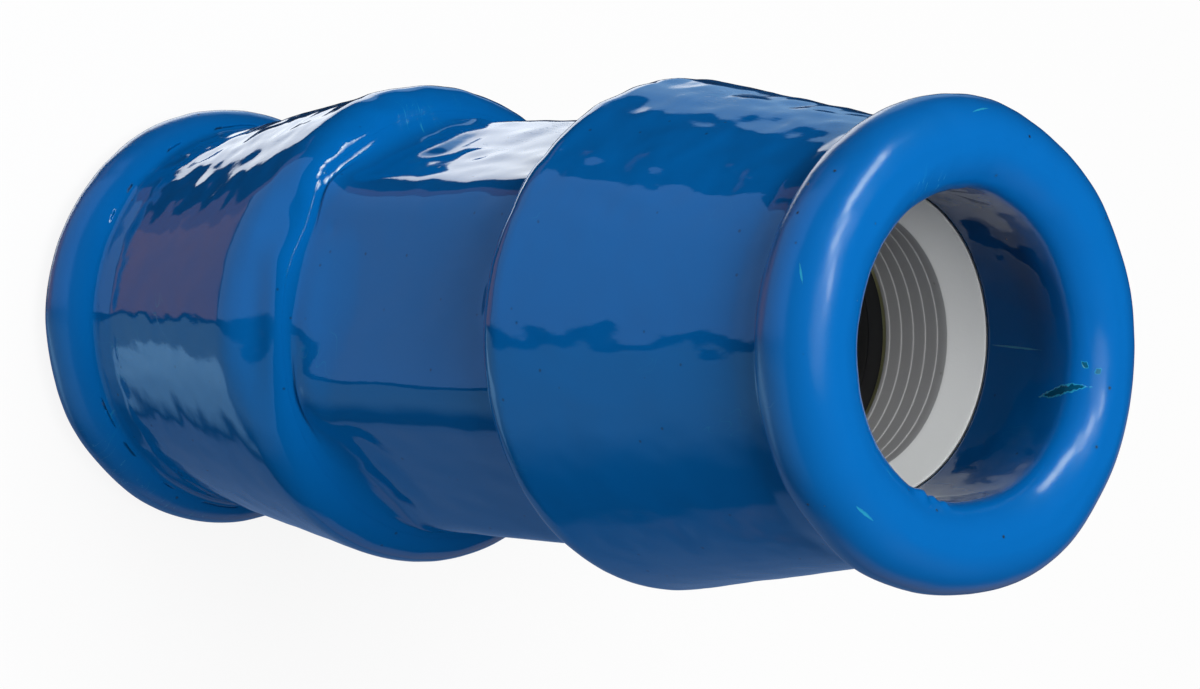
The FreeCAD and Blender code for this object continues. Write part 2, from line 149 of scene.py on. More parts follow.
class CouplingMetalSizes(bpy.types.PropertyGroup):
    """Sizes of the metal body and nuts, and of the rings inside them."""

    thread_radius: length("Thread", "Outer radius of the male thread", 29.5)
    thread_pitch: length("Pitch", "Rise of the thread in one turn", 3.0)
    thread_depth: length("Thread depth", "Depth of the thread", 1.5)
    thread_play: length("Thread play", "Between male and female thread", 0.1)
    thread_start: length("Thread start", "Where the male thread starts", 29.2)
    thread_bevel: length("Thread bevel", "Bevel at the male thread's ends", 1.5)
    relief_radius: length("Relief", "Radius of the relief beside the hexagon", 28.0)
    flats: length("Flats", "Half the width across the bare hexagon's flats", 30.4)
    flat_end: length("Hexagon half", "Half the length of the bare hexagon", 25.1)
    corner_rounding: length("Corners", "Rounding of the bare hexagon's edges", 3.5)
    bore_radius: length("Bore", "Radius of the pipe bore", 21.35)
    stop_radius: length("Stop", "Radius inside the pipe stop", 18.5)
    stop_half: length("Stop half", "Half the length of the pipe stop", 3.0)
    socket_radius: length("Seal socket", "Radius of the seal's socket", 26.0)
    nut_thread_end: length("Nut thread end", "Where the female thread ends", 58.0)
    cone_radius: length("Cone", "Wide end of the nut's inner cone", 29.2)
    cone_end: length("Cone end", "Where the cone has closed to the mouth", 77.3)
    mouth_radius: length("Mouth", "Radius of the nut's mouth", 25.3)
    nut_rounding: length("Nut shoulder", "Rounding of the top nut's shoulder", 5.0)
    low_nut_rounding: length("Low nut shoulder", "Rounding of the bottom nut's shoulder, under the dent", 8.0)


class CouplingGripSizes(bpy.types.PropertyGroup):
    """Sizes of the toothed grip rings."""

    ridge_radius: length("Ridges", "Inside radius at the ridges' crests", 21.35)
    ridge_count: IntProperty(
        name="Ridge count", description="Number of gaps between ridges", default=5, min=1
    )
    ridge_pitch: length("Ridge pitch", "Distance from one ridge to the next", 2.76)
    ridge_depth: length("Ridge depth", "Depth of the steps between the ridges, as seen", 0.09)
    ridge_crest: length("Ridge crest", "Flat crest of a ridge", 0.45)
    ridge_start: length("First gap", "Where the first gap between ridges starts", 60.05)
    cone_play: length("Cone play", "Between grip ring and the nut's cone", 0.2)
    mouth_wall: length("Mouth wall", "Wall of the ring at its mouth", 0.4)
    split: length("Split", "Width of the ring's split", 1.6)


class CouplingFinish(bpy.types.PropertyGroup):
    """Colours of the coupling."""

    skin: tone("Skin", "Blue plastic jacket", 0.0005, 0.152, 0.52)
    iron: tone("Iron", "Galvanised iron", 0.47, 0.48, 0.49)
    grip: tone("Grip rings", "White acetal", 0.57, 0.58, 0.575)
    washer: tone("Washers", "Yellow passivated steel", 0.62, 0.6, 0.3)
    pusher: tone("Pressing rings", "Black nylon", 0.03, 0.03, 0.03)
    seal: tone("Seals", "Black rubber", 0.02, 0.02, 0.02)
    floor: tone("Floor", "Pale floor", 0.35, 0.35, 0.35)


class Millimetres:
    """The lengths of a property group, in millimetres, by name."""

    def __init__(self, group):
        for name in group.__annotations__:
            value = getattr(group, name)
            setattr(self, name, value / MM if isinstance(value, float) else value)


def smooth_step(low, high, value):
    """Nought below low, one above high, and a smooth rise between them."""
    share = np.clip((value - low) / (high - low), 0.0, 1.0)
    return share * share * (3.0 - 2.0 * share)


def smooth_greater(first, second, blend):
    """The greater of two arrays, with a soft hollow as wide as blend where they cross."""
    near = np.clip(0.5 + 0.5 * (first - second) / blend, 0.0, 1.0)
    return second + (first - second) * near + blend * near * (1.0 - near)


def arc(centre, radius, start, end, step):
    """Points on a circle from one angle to another, in degrees, about a step apart."""
    count = max(3, math.ceil(abs(math.radians(end - start)) * radius / step))
    angle = np.radians(np.linspace(start, end, count + 1))
    return np.stack([centre[0] + radius * np.cos(angle), centre[1] + radius * np.sin(angle)], 1)


def fillet(before, corner, after, radius, step):
    """Arc that rounds the corner between two straight runs and touches both."""
    before, corner, after = (np.array(point, float) for point in (before, corner, after))
    back = (before - corner) / np.linalg.norm(before - corner)
    forth = (after - corner) / np.linalg.norm(after - corner)
    half = math.acos(float(np.clip(back @ forth, -1.0, 1.0))) / 2
    middle = (back + forth) / np.linalg.norm(back + forth)
    centre = corner + middle * radius / math.sin(half)
    first = corner + back * radius / math.tan(half) - centre
    last = corner + forth * radius / math.tan(half) - centre
    start = math.degrees(math.atan2(first[1], first[0]))
    turn = math.degrees(math.atan2(first[0] * last[1] - first[1] * last[0], first @ last))
    return arc(centre, radius, start, start + turn, step)


def join(parts):
    """Closed section from parts, each (points, show, step): the points, how much of the skin's marks they
    take, and the spacing of the straight run from their last point to the next part's first one. Returns
    points and shows."""
    points = []
    shows = []
    for index, (part, show, step) in enumerate(parts):
        part = np.atleast_2d(part)
        following, next_show, _ = parts[(index + 1) % len(parts)]
        goal = np.atleast_2d(following)[0]
        gap = goal - part[-1]
        count = max(1, math.ceil(np.hypot(*gap) / step))
        share = np.arange(1, count)[:, None] / count
        run = part[-1] + gap * share
        points += [part, run]
        shows += [np.full(len(part), show), show + (next_show - show) * share[:, 0]]
    return np.concatenate(points), np.concatenate(shows)


def rounded_section(corners, step):
    """Closed section through (radius, height, rounding) corners, listed anticlockwise."""
    parts = []
    for index, (radius, height, rounding) in enumerate(corners):
        before = corners[index - 1][:2]
        after = corners[(index + 1) % len(corners)][:2]
        points = fillet(before, (radius, height), after, rounding, rounding / 3)
        parts.append((points, 0.0, step))
    return join(parts)[0]


def section_normals(section):
    """Outward unit normals of a closed anticlockwise section, square to its neighbours' chord."""
    chord = np.roll(section, -1, axis=0) - np.roll(section, 1, axis=0)
    chord /= np.linalg.norm(chord, axis=1)[:, None]
    return np.stack([chord[:, 1], -chord[:, 0]], 1)


def travelled(section):
    """Distance along a section up to each of its points."""
    steps = np.hypot(*np.diff(section, axis=0).T)
    return np.concatenate([[0.0], np.cumsum(steps)])


# Sets of moulding waves: share of the usual wave length, and how much longer they are along the section than
# round it.
FINE = (1.0, 1.6)
BROAD = (3.0, 1.0)
SHORT = (0.55, 1.3)


def waves(columns, distance, radius, wave_length, kind, seed):
    """Smooth random heights with a spread of one, on columns round the axis and at distances along a section.

    White noise is filtered by ratio squared times e to the minus ratio squared, where ratio is the wave
    length times the frequency."""
    longer, stretch = kind
    cell = 0.5
    spare_cells = 8
    count = int(distance.max() / cell) + spare_cells
    noise = np.random.default_rng(seed).standard_normal((columns, count))
    round_frequency = np.fft.fftfreq(columns, math.tau * radius / columns)
    along_frequency = np.fft.fftfreq(count, cell)
    ratio = wave_length * longer * np.hypot(round_frequency[:, None], along_frequency[None, :] * stretch)
    field = np.fft.ifft2(np.fft.fft2(noise) * ratio**2 * np.exp(-(ratio**2))).real
    field /= field.std()
    position = distance / cell
    lower = np.floor(position).astype(int)
    share = smooth_step(0.0, 1.0, position - lower)
    return field[:, lower] * (1.0 - share) + field[:, lower + 1] * share


def turn_angles(columns):
    """Angles of columns spread evenly round the axis."""
    return np.linspace(0.0, math.tau, columns, endpoint=False)[:, None]


def place(radius, height, angle, end):
    """Points in metres from radius, height above the middle plane and angle; end is 1 for the top and -1 for
    the bottom."""
    radius, height, angle = np.broadcast_arrays(radius, height, angle)
    points = [radius * np.cos(angle), end * radius * np.sin(angle), MIDDLE + end * height]
    return np.stack(points, -1) * MM


def make_piece(name, points, body, slot, material, replaces, closed=True, **attributes):
    """Piece from a grid of points: the first index goes round the axis, the second round a closed section
    that is listed anticlockwise. Where the grid isn't closed round the axis, its first and last section
    become end faces. Each attribute is one number for the piece, or one for each point of the section."""
    columns, rows = points.shape[:2]
    index = np.arange(columns * rows).reshape(columns, rows)
    here = index if closed else index[:-1]
    beside = np.roll(index, -1, axis=0) if closed else index[1:]
    corners = [here, beside, np.roll(beside, -1, axis=1), np.roll(here, -1, axis=1)]
    quads = np.stack(corners, -1).reshape(-1, 4)
    loops = quads.ravel()
    starts = np.arange(len(quads)) * 4
    smooth = np.ones(len(quads), bool)
    if not closed:
        loops = np.concatenate([loops, index[0], index[-1][::-1]])
        starts = np.concatenate([starts, [len(quads) * 4, len(quads) * 4 + rows]])
        smooth = np.concatenate([smooth, [False, False]])
    mesh = bpy.data.meshes.new(name)
    mesh.vertices.add(columns * rows)
    mesh.vertices.foreach_set("co", np.ascontiguousarray(points, np.float32).ravel())
    mesh.loops.add(len(loops))
    mesh.loops.foreach_set("vertex_index", loops.astype(np.int32))
    mesh.polygons.add(len(starts))
    mesh.polygons.foreach_set("loop_start", starts.astype(np.int32))
    mesh.polygons.foreach_set("use_smooth", smooth)
    mesh.update(calc_edges=True)
    for label, values in attributes.items():
        values = np.broadcast_to(values, (columns, rows))
        layer = mesh.attributes.new(label, "FLOAT", "POINT")
        layer.data.foreach_set("value", np.ascontiguousarray(values, np.float32).ravel())
    mesh.materials.append(material)
    if mesh.validate():
        raise RuntimeError(f"{name} has broken faces")
    piece = bpy.data.objects.new(name, mesh)
    bpy.context.scene.collection.objects.link(piece)
    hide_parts(replaces)
    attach(piece, body)


def hexagon_radius(angle, flats, rounding):
    """Radius of a round-edged hexagon at an angle, corners at nought and every sixth of a turn: the flat's
    distance over the cosine, and near a corner the circle that touches both flats."""
    from_flat = np.abs(np.mod(angle, math.pi / 3) - math.pi / 6)
    centre = (flats - rounding) / math.cos(math.pi / 6)
    from_corner = math.pi / 6 - from_flat
    over = np.clip(rounding**2 - (centre * np.sin(from_corner)) ** 2, 0.0, None)
    on_corner = centre * np.cos(from_corner) + np.sqrt(over)
    tangent = math.atan((flats - rounding) * math.tan(math.pi / 6) / flats)
    return np.where(from_flat < tangent, flats / np.cos(from_flat), on_corner)


def thread_groove(height, angle, pitch):
    """Depth share of a right-hand thread: nought on the crest and one in the root, straight flanks between
    them. The groove's place is the height over the pitch less the turns made, and its crest and flank are
    given as shares of half a pitch."""
    crest = 0.2
    flank = 0.6
    turns = height / pitch - angle / math.tau
    from_crest = np.abs(turns - np.round(turns)) * 2
    return np.clip((from_crest - crest) / flank, 0.0, 1.0)


def bell_taper(skin, height):
    """Radius of the bell's straight taper at a height."""
    share = (height - BELL_START) / (skin.neck_height - BELL_START)
    return skin.shoulder_radius + (skin.neck_radius - skin.shoulder_radius) * share


def hump(skin):
    """Centre radius of the bottom bell's hump, which touches the taper, the radius and the angle where it
    starts, and the taper's angle."""
    taper = math.atan((skin.shoulder_radius - skin.neck_radius) / (skin.neck_height - BELL_START))
    centre = bell_taper(skin, skin.hump_height) - skin.hump_rounding / math.cos(taper)
    start = math.asin((BELL_START - skin.hump_height) / skin.hump_rounding)
    return centre, centre + skin.hump_rounding * math.cos(start), start, taper


INNER_TURN = 139.0


def inner_edge(skin, foot):
    """Arc of the lip's inner edge: it leaves the lip's circle at INNER_TURN degrees and ends where the
    straight sleeve from its foot touches it. Two circles that touch have their centres on one line through
    that point."""
    turn = math.radians(INNER_TURN)
    offset = skin.lip_tube - skin.sleeve_rounding
    centre = (skin.lip_ring + offset * math.cos(turn), skin.lip_height + offset * math.sin(turn))
    apart = math.hypot(centre[0] - foot[0], centre[1] - foot[1])
    towards = math.atan2(centre[1] - foot[1], centre[0] - foot[0])
    end = math.degrees(towards + math.asin(skin.sleeve_rounding / apart)) + 90
    return arc(centre, skin.sleeve_rounding, INNER_TURN, end, 0.35)


def nut_shoulder(metal, end):
    """Rounding of a nut's shoulder. The bottom one leaves room for the dent in the skin."""
    return metal.nut_rounding if end > 0 else metal.low_nut_rounding


def bell_section(skin, metal, end):
    """Anticlockwise section of the bell: inner face, rounded shoulder, taper, neck, hollow crease, rolled
    lip, sleeve and the room for the nut. The bottom bell's shoulder carries on the hollow that sweeps up from
    the hexagon. Returns the points and how much of the skin's marks they take."""
    foot = (metal.thread_radius + metal.thread_play, BELL_START)
    shoulder = (skin.shoulder_radius, BELL_START)
    waist = (skin.neck_radius, skin.neck_height)
    crease_r = skin.neck_radius + skin.crease_rounding
    crease_gap = skin.lip_tube + skin.crease_rounding
    crease_down = math.sqrt(crease_gap**2 - (crease_r - skin.lip_ring) ** 2)
    crease = (crease_r, skin.lip_height - crease_down)
    lip_start = math.degrees(math.atan2(-crease_down, crease_r - skin.lip_ring))
    ring = (skin.lip_ring, skin.lip_height)
    room_top = NUT_END + FIT
    room_low = NUT_START - FIT
    room_foot = (foot[0], room_low)
    top_out = (bell_taper(skin, room_top) - skin.wall, room_top)
    low_out = (bell_taper(skin, room_low) - skin.wall, room_low)
    if end > 0:
        rounding = fillet(foot, shoulder, waist, skin.shoulder_rounding, 0.5)
        edge = np.empty((0, 2))
    else:
        centre, hump_radius, start, taper = hump(skin)
        middle = (centre, skin.hump_height)
        start = math.degrees(start)
        # Two points close together keep the edge at the joint crisp.
        rounding = np.concatenate([
            arc(middle, skin.hump_rounding, start, start + 0.2, 0.1)[::3],
            arc(middle, skin.hump_rounding, start + 2.0, math.degrees(taper), 0.5),
        ])
        edge = np.array([(hump_radius - SEAM, BELL_START)])
    foot_arc = fillet(shoulder, foot, room_foot, 0.3, 0.1)[::-1]
    sleeve_foot = (skin.sleeve_radius, room_top)
    sleeve = inner_edge(skin, sleeve_foot)
    # The marks fade out over the last tenth of the sleeve.
    sleeve_low = sleeve[-1] + (np.array(sleeve_foot) - sleeve[-1]) * 0.9
    # Each part's points, their share of the marks, and the spacing of the straight run that follows.
    section, show = join([
        (np.concatenate([foot_arc, edge]), 0.0, 1.2),
        (rounding, 1.0, 0.62),
        (fillet(shoulder, waist, (skin.neck_radius, skin.lip_height), skin.neck_rounding, 0.5), 1.0, 0.5),
        (arc(crease, skin.crease_rounding, 180, 180 + lip_start, 0.25), 1.0, 0.3),
        (arc(ring, skin.lip_tube, lip_start, INNER_TURN - 3.0, 0.48), 1.0, 0.3),
        (sleeve, 0.8, 0.6),
        ([sleeve_low], 0.6, 0.6),
        ([sleeve_foot], 0.0, 1.5),
        ([top_out], 0.0, 4.0),
        (fillet(top_out, low_out, room_foot, nut_shoulder(metal, end), 0.8), 0.0, 2.5),
        ([room_foot], 0.0, 0.8),
    ])
    section[:, 1] = np.minimum(section[:, 1], BELL_END)
    return section, show


ROUGH_SIDE = math.radians(200)


def roughness(angle):
    """How strong the moulding waves are round the axis: one, and three on the side that cooled roughest."""
    return 1.0 + 2.0 * smooth_step(0.45, 0.95, np.cos(angle - ROUGH_SIDE))


# Dents in the skin of the hexagon and the bottom bell: azimuth in degrees, height from the middle plane,
# spread round and along the axis, and depth, which is below nought for a bump.
DENTS = [
    (278.0, -33.0, 15.5, 4.5, 3.0),
    (278.0, -23.5, 15.5, 4.0, -1.6),
    (252.0, -31.0, 5.0, 4.5, 1.3),
    (237.0, -28.0, 5.0, 4.0, -1.2),
    (251.0, -22.5, 1.3, 1.3, 0.22),
    (258.5, 12.0, 0.9, 5.5, 0.12),
]
# Radius at which the dents' spread round the axis is measured.
DENT_RADIUS = 37.0
# Lumps on the upper lip's inner edge, in the same form as the dents, with a height in place of the depth.
LUMPS = [
    (343.0, 100.2, 1.3, 1.0, 0.9),
    (350.0, 99.6, 1.1, 0.8, 0.6),
    (356.0, 99.9, 0.8, 0.7, 0.5),
]


def spots(azimuth, height, radius, marks):
    """Sum of round-topped marks: each is its size times e to the minus square of the distance over its
    spread."""
    total = 0.0
    for centre, level, wide, high, size in marks:
        aside = np.mod(azimuth - math.radians(centre) + math.pi, math.tau) - math.pi
        total = total + size * np.exp(-((aside * radius / wide) ** 2) - ((height - level) / high) ** 2)
    return total


def heading(azimuth):
    """Level direction at an azimuth in degrees."""
    return np.array([math.cos(math.radians(azimuth)), math.sin(math.radians(azimuth)), 0.0])


# The azimuth that the upper lip leans to. Its far side is the opposite one.
LEAN = 277.0
# The upper lip's sag and lean: azimuth that it moves to, size, and between which distances out it grows.
BENDS = [
    (7.0, 1.7, 0.0, 30.0),
    (LEAN, 0.8, 25.0, 39.0),
]
# Both set in over this rise in height.
BEND_START = (86.0, 95.0)


def bend_lip(points):
    """Upper lip pushed out of round, in metres: the side at azimuth 97 degrees, away from the camera, sags to
    azimuth 7 degrees and leans back towards azimuth 277 degrees, more the farther it lies out, and nothing
    moves below the neck."""
    out = -(points @ heading(LEAN)) / MM
    fade = smooth_step(*BEND_START, points[..., 2] / MM - MIDDLE)
    for azimuth, size, start, stop in BENDS:
        moved = size * MM * smooth_step(start, stop, out) * fade
        points = points + moved[..., None] * heading(azimuth)
    return points


BELL_COLUMNS = 252
BELL_SEEDS = {"top": 11, "bottom": 29}
# Radius at which the length of the bell's waves round the axis is measured.
BELL_WAVE_RADIUS = 38.0
# A bell's skin is inside the mouth nearer the axis than this. Satin sets in over a rise in height, outside
# and inside, and the painted shade deep in the mouth ends over another.
MOUTH_REACH = 27.0
SATIN_OUTSIDE = (88.5, 91.5)
SATIN_INSIDE = (94.0, 98.0)
SHADE_END = (90.0, 100.5)
# Shares of the short and broad waves, and what the lip adds to the broad ones and takes from the others.
SHORT_SHARE = 0.35
BROAD_SHARE = 1.2
LIP_BROAD = 2.0
LIP_CALM = 0.6


def make_bell(end_name, skin, metal, material):
    """Bell jacket: its section turned round the axis, lifted along its normals by three sets of moulding
    waves, and then marked by dents, or by lumps and a bent lip on the upper one."""
    end = ENDS[end_name]
    section, show = bell_section(skin, metal, end)
    out, level = section.T
    show = show * smooth_step(BELL_START, BELL_START + 2.0, level)
    normal = section_normals(section)
    distance = travelled(section)
    angle = turn_angles(BELL_COLUMNS)
    inside = out < MOUTH_REACH
    on_lip = smooth_step(*SATIN_OUTSIDE, level) * np.where(inside, smooth_step(*SATIN_INSIDE, level), 1.0)
    fine, broad, short = (
        waves(BELL_COLUMNS, distance, BELL_WAVE_RADIUS, skin.wave_length, kind, BELL_SEEDS[end_name] + number)
        for number, kind in enumerate((FINE, BROAD, SHORT))
    )
    rough = roughness(end * angle) * (1.0 - LIP_CALM * on_lip)
    lift = (fine + SHORT_SHARE * short) * rough + broad * (BROAD_SHARE + LIP_BROAD * on_lip)
    lift = skin.wave_height * lift * show
    if end > 0:
        lift = lift + spots(angle, level, out, LUMPS) * inside
    radius = out + lift * normal[:, 0]
    height = np.minimum(level + lift * normal[:, 1], BELL_END)
    if end < 0:
        radius = radius - spots(-angle, -level, DENT_RADIUS, DENTS) * (out > skin.neck_radius - 0.5)
    points = place(radius, height, angle, end)
    if end > 0:
        points = bend_lip(points)
    # The deep attribute carries painted shade deep in the mouth, fading out towards the lip.
    make_piece(
        f"{end_name}_bell", points, f"{end_name}_nut", "jacket", material, f"{end_name}_nut_jacket",
        satin=on_lip, deep=np.where(inside, 1.0 - smooth_step(*SHADE_END, level), 0.0),
    )


def sweep_radius(skin, height):
    """Radius of the hollow sweeps up to the collars: a circle from where it touches the flats outwards, and a
    parabola that falls away before. Above the middle it ends square to the axis, and below it meets the
    bell's hump."""
    _, hump_radius, start, _ = hump(skin)
    low_rounding = (hump_radius - skin.flats) / (1.0 - math.cos(start))
    rounding = np.where(height > 0, skin.collar_sweep, low_rounding)
    up_start = COLLAR_END - skin.collar_land - skin.collar_sweep
    low_start = BELL_START + low_rounding * math.sin(start)
    up_base = skin.collar_radius - skin.collar_sweep
    past = np.abs(height) - np.where(height > 0, up_start, low_start)
    rise = rounding - np.sqrt(np.clip(rounding**2 - np.clip(past, 0.0, None) ** 2, 0.0, None))
    return np.where(height > 0, up_base, skin.flats) + rise - np.clip(-past, 0.0, None) ** 2 / (2 * rounding)


SKIN_COLUMNS = 264
SKIN_SEED = 47
# Radius at which the length of the hexagon's waves round the axis is measured.
SKIN_WAVE_RADIUS = 34.0
# Rows of points on each end face of the hexagon's skin.
FACE_ROWS = 6
# How softly the sweeps run out of the flats, above and below the middle plane.
TOP_BLEND = 1.2
LOW_BLEND = 3.0
# Between these radii the low end face takes on the dents.
FACE_DENTS = (30.0, 37.5)
# These stand for the radius of the rows on which it changes with the angle: thread or skin, and bare hexagon.
VARIED = -1.0
HEXED = -2.0


def make_hexagon_skin(skin, metal, material):
    """Skin of the hexagon: outside, the smooth greater of the round-edged hexagon and of the hollow sweeps up
    to the collars, and inside, room for the bare hexagon and a round hole each way."""
    angle = turn_angles(SKIN_COLUMNS)
    land_start = COLLAR_END - skin.collar_land
    low_end = BELL_START - SKIN_GAP
    hole = metal.relief_radius + FIT
    room = metal.flat_end + FIT
    rim = fillet((skin.collar_radius, 0), (skin.collar_radius, COLLAR_END), (hole, COLLAR_END), 0.35, 0.1)
    # The rows lie a little closer together towards both collars.
    outer = np.concatenate([
        [-low_end, SEAM - low_end], np.linspace(0.25 - low_end, -19.0, 35),
        np.linspace(-18.4, 20.8, 76), np.linspace(21.2, land_start, 28),
    ])
    top_face = np.linspace(skin.collar_radius - 1.2, hole, FACE_ROWS)
    low_face = np.linspace(hole, hump(skin)[1] - SEAM, FACE_ROWS)
    base = np.concatenate([
        np.full(len(outer), VARIED), rim[:, 0], top_face, [hole, HEXED, HEXED, hole], low_face,
    ])
    high = np.concatenate([
        outer, rim[:, 1], np.full(FACE_ROWS, COLLAR_END), [room, room, -room, -room],
        np.full(FACE_ROWS, -low_end),
    ])
    away = np.abs(high)
    flats = hexagon_radius(angle, skin.flats, skin.corner_rounding)
    inside = hexagon_radius(angle, metal.flats + FIT, metal.corner_rounding)
    sweep = sweep_radius(skin, high)
    skin_radius = smooth_greater(flats, sweep, np.where(high > 0, TOP_BLEND, LOW_BLEND))
    skin_radius = skin_radius + (sweep - skin_radius) * smooth_step(land_start - 0.6, land_start, away)
    distance = np.clip(high + low_end, 0.0, low_end + land_start)
    fine, broad = (
        waves(SKIN_COLUMNS, distance, SKIN_WAVE_RADIUS, skin.wave_length, kind, SKIN_SEED + number)
        for number, kind in enumerate((FINE, BROAD))
    )
    fade = 1.0 - smooth_step(land_start - 1.5, land_start, away)
    dents = spots(angle, high, DENT_RADIUS, DENTS)
    lift = skin.wave_height * (fine * roughness(angle) + broad * BROAD_SHARE) * fade - dents
    # The low end face takes the dents at its rim and not at its hole.
    face = np.where(high < 0, base - dents * smooth_step(*FACE_DENTS, base), base)
    radius = np.where(base > 0, face, np.where(base == VARIED, skin_radius + lift, inside))
    make_piece(
        "hexagon_skin", place(radius, high, angle, 1), "middle", "jacket", material, "body_jacket",
        satin=0.0, deep=0.0,
    )


THREAD_COLUMNS = 144
# Distance between the rows of points on a thread, and what lets the last row in.
THREAD_ROW = 0.25
ROW_PLAY = 0.001
# Bevels of the seal's socket, of its seat, of the stop's foot and of the stop's hole, and the nut's lead-in.
SOCKET_BEVEL = 0.8
SEAT_BEVEL = 0.3
FOOT_BEVEL = 0.2
STOP_BEVEL = 0.4
NUT_LEAD = 1.5


def make_body(metal, material):
    """Metal body: bare hexagon between reliefs, a helical male thread each way, and inside the pipe bore with
    its stop and the bevelled seal sockets. Every radius is a function of the angle and the height."""
    angle = turn_angles(THREAD_COLUMNS)
    bevel = metal.thread_bevel
    crest_rows = np.arange(metal.thread_start - bevel, BODY_END + ROW_PLAY, THREAD_ROW)
    up_rows = np.concatenate([[metal.flat_end, metal.flat_end], crest_rows, [BODY_END]])
    up_kind = np.concatenate([[HEXED, metal.relief_radius], np.full(len(crest_rows) + 1, VARIED)])
    socket = metal.socket_radius
    bore = metal.bore_radius
    stop = metal.stop_radius
    half = metal.stop_half
    inner = np.array([
        (socket + SOCKET_BEVEL, BODY_END), (socket, BODY_END - SOCKET_BEVEL),
        (socket, SEAL_START + SEAT_BEVEL), (socket - SEAT_BEVEL, SEAL_START),
        (bore + SEAT_BEVEL, SEAL_START), (bore, SEAL_START - SEAT_BEVEL),
        (bore, half + FOOT_BEVEL), (bore - FOOT_BEVEL, half),
        (stop + STOP_BEVEL, half), (stop, half - STOP_BEVEL),
    ])
    kind = np.concatenate([up_kind[::-1], up_kind, inner[:, 0], inner[::-1, 0]])
    rows = np.concatenate([-up_rows[::-1], up_rows, inner[:, 1], -inner[::-1, 1]])
    depth = metal.thread_depth * thread_groove(rows, angle, metal.thread_pitch)
    end_bevel = np.clip(np.abs(rows) - (BODY_END - bevel), 0.0, bevel)
    start_bevel = np.clip(metal.thread_start - np.abs(rows), 0.0, bevel)
    thread = np.minimum(metal.thread_radius - depth, metal.thread_radius - np.maximum(end_bevel, start_bevel))
    hexed = hexagon_radius(angle, metal.flats, metal.corner_rounding)
    radius = np.where(kind > 0, kind, np.where(kind == VARIED, thread, hexed))
    make_piece("threaded_body", place(radius, rows, angle, 1), "middle", "iron", material, "body")


def make_gland_nut(end_name, skin, metal, material):
    """Gland nut: a helical female thread, the cone that closes on the grip ring, the mouth, and outside the
    taper that the jacket covers."""
    end = ENDS[end_name]
    angle = turn_angles(THREAD_COLUMNS)
    wall = skin.wall + FIT
    low_out = (bell_taper(skin, NUT_START) - wall, NUT_START)
    top_out = (bell_taper(skin, NUT_END) - wall, NUT_END)
    mouth = (metal.mouth_radius, NUT_END)
    major = metal.thread_radius + metal.thread_play
    outline, _ = join([
        ([(major + 1.0, NUT_START)], 0.0, 2.0),
        (fillet((major, NUT_START), low_out, top_out, nut_shoulder(metal, end), 0.8), 0.0, 4.0),
        (fillet(low_out, top_out, mouth, 0.4, 0.15), 0.0, 1.5),
        (fillet(top_out, mouth, (metal.mouth_radius, 0), 0.35, 0.1), 0.0, 0.5),
        ([(metal.mouth_radius, metal.cone_end)], 0.0, 1.5),
        ([(metal.cone_radius, metal.nut_thread_end)], 0.0, 100.0),
    ])
    rows = np.arange(metal.nut_thread_end, NUT_START - ROW_PLAY, -THREAD_ROW)
    kind = np.concatenate([outline[:, 0], np.full(len(rows), VARIED)])
    height = np.concatenate([outline[:, 1], rows])
    depth = metal.thread_depth * thread_groove(height, angle, metal.thread_pitch)
    lead = np.clip(NUT_START + NUT_LEAD - height, 0.0, NUT_LEAD)
    thread = np.maximum(major - depth, major - metal.thread_depth + lead)
    make_piece(
        f"{end_name}_gland_nut", place(np.where(kind > 0, kind, thread), height, angle, end),
        f"{end_name}_nut", "iron", material, f"{end_name}_nut",
    )


def grip_section(metal, grip):
    """Anticlockwise section of the toothed ring: inner end, outer cone, mouth, lead-in and the ridges,
    shallow terraces that each end in a small step facing the mouth."""
    cone_share = (GRIP_START - metal.nut_thread_end) / (metal.cone_end - metal.nut_thread_end)
    start = metal.cone_radius - grip.cone_play - (metal.cone_radius - metal.mouth_radius) * cone_share
    mouth = metal.mouth_radius - grip.cone_play
    crest = grip.ridge_radius
    lead = grip.ridge_start + grip.ridge_pitch * grip.ridge_count - grip.ridge_crest
    step_length = 0.12
    corners = [
        (crest, GRIP_START, 0.15),
        (start, GRIP_START, 0.3),
        (mouth, metal.cone_end, 1.0),
        (mouth, GRIP_END, 0.12),
        (mouth - grip.mouth_wall, GRIP_END, 0.12),
        (crest, lead, 0.05),
    ]
    for number in reversed(range(grip.ridge_count)):
        low = grip.ridge_start + grip.ridge_pitch * number
        corners.append((crest + grip.ridge_depth, low + step_length, 0.03))
        corners.append((crest, low, 0.03))
        if number:
            corners.append((crest, low - grip.ridge_crest, 0.05))
    return rounded_section(corners, 0.6)


GRIP_COLUMNS = 220


def make_grip_ring(end_name, metal, grip, material):
    """Toothed ring: its section carried round the axis up to the split, whose faces are parallel, so that
    each radius starts at the angle whose sine is half the split over that radius."""
    section = grip_section(metal, grip)
    offset = np.arcsin(grip.split / 2 / section[:, 0])
    share = np.linspace(0.0, 1.0, GRIP_COLUMNS)[:, None]
    ridged = grip.ridge_start + grip.ridge_pitch * grip.ridge_count
    # Painted shade over the ridges, which fades out above them.
    shade = smooth_step(ridged, ridged - 2.0, section[:, 1]) * (section[:, 0] < grip.ridge_radius + 0.5)
    angle = -math.pi / 2 + offset + (math.tau - 2 * offset) * share
    make_piece(
        f"{end_name}_toothed_ring", place(section[:, 0], section[:, 1], angle, ENDS[end_name]),
        f"{end_name}_rings", "grip_ring", material, f"{end_name}_grip_ring", closed=False, shade=shade,
    )


RING_COLUMNS = 128
FLANGE = reach("top_pressing_ring")
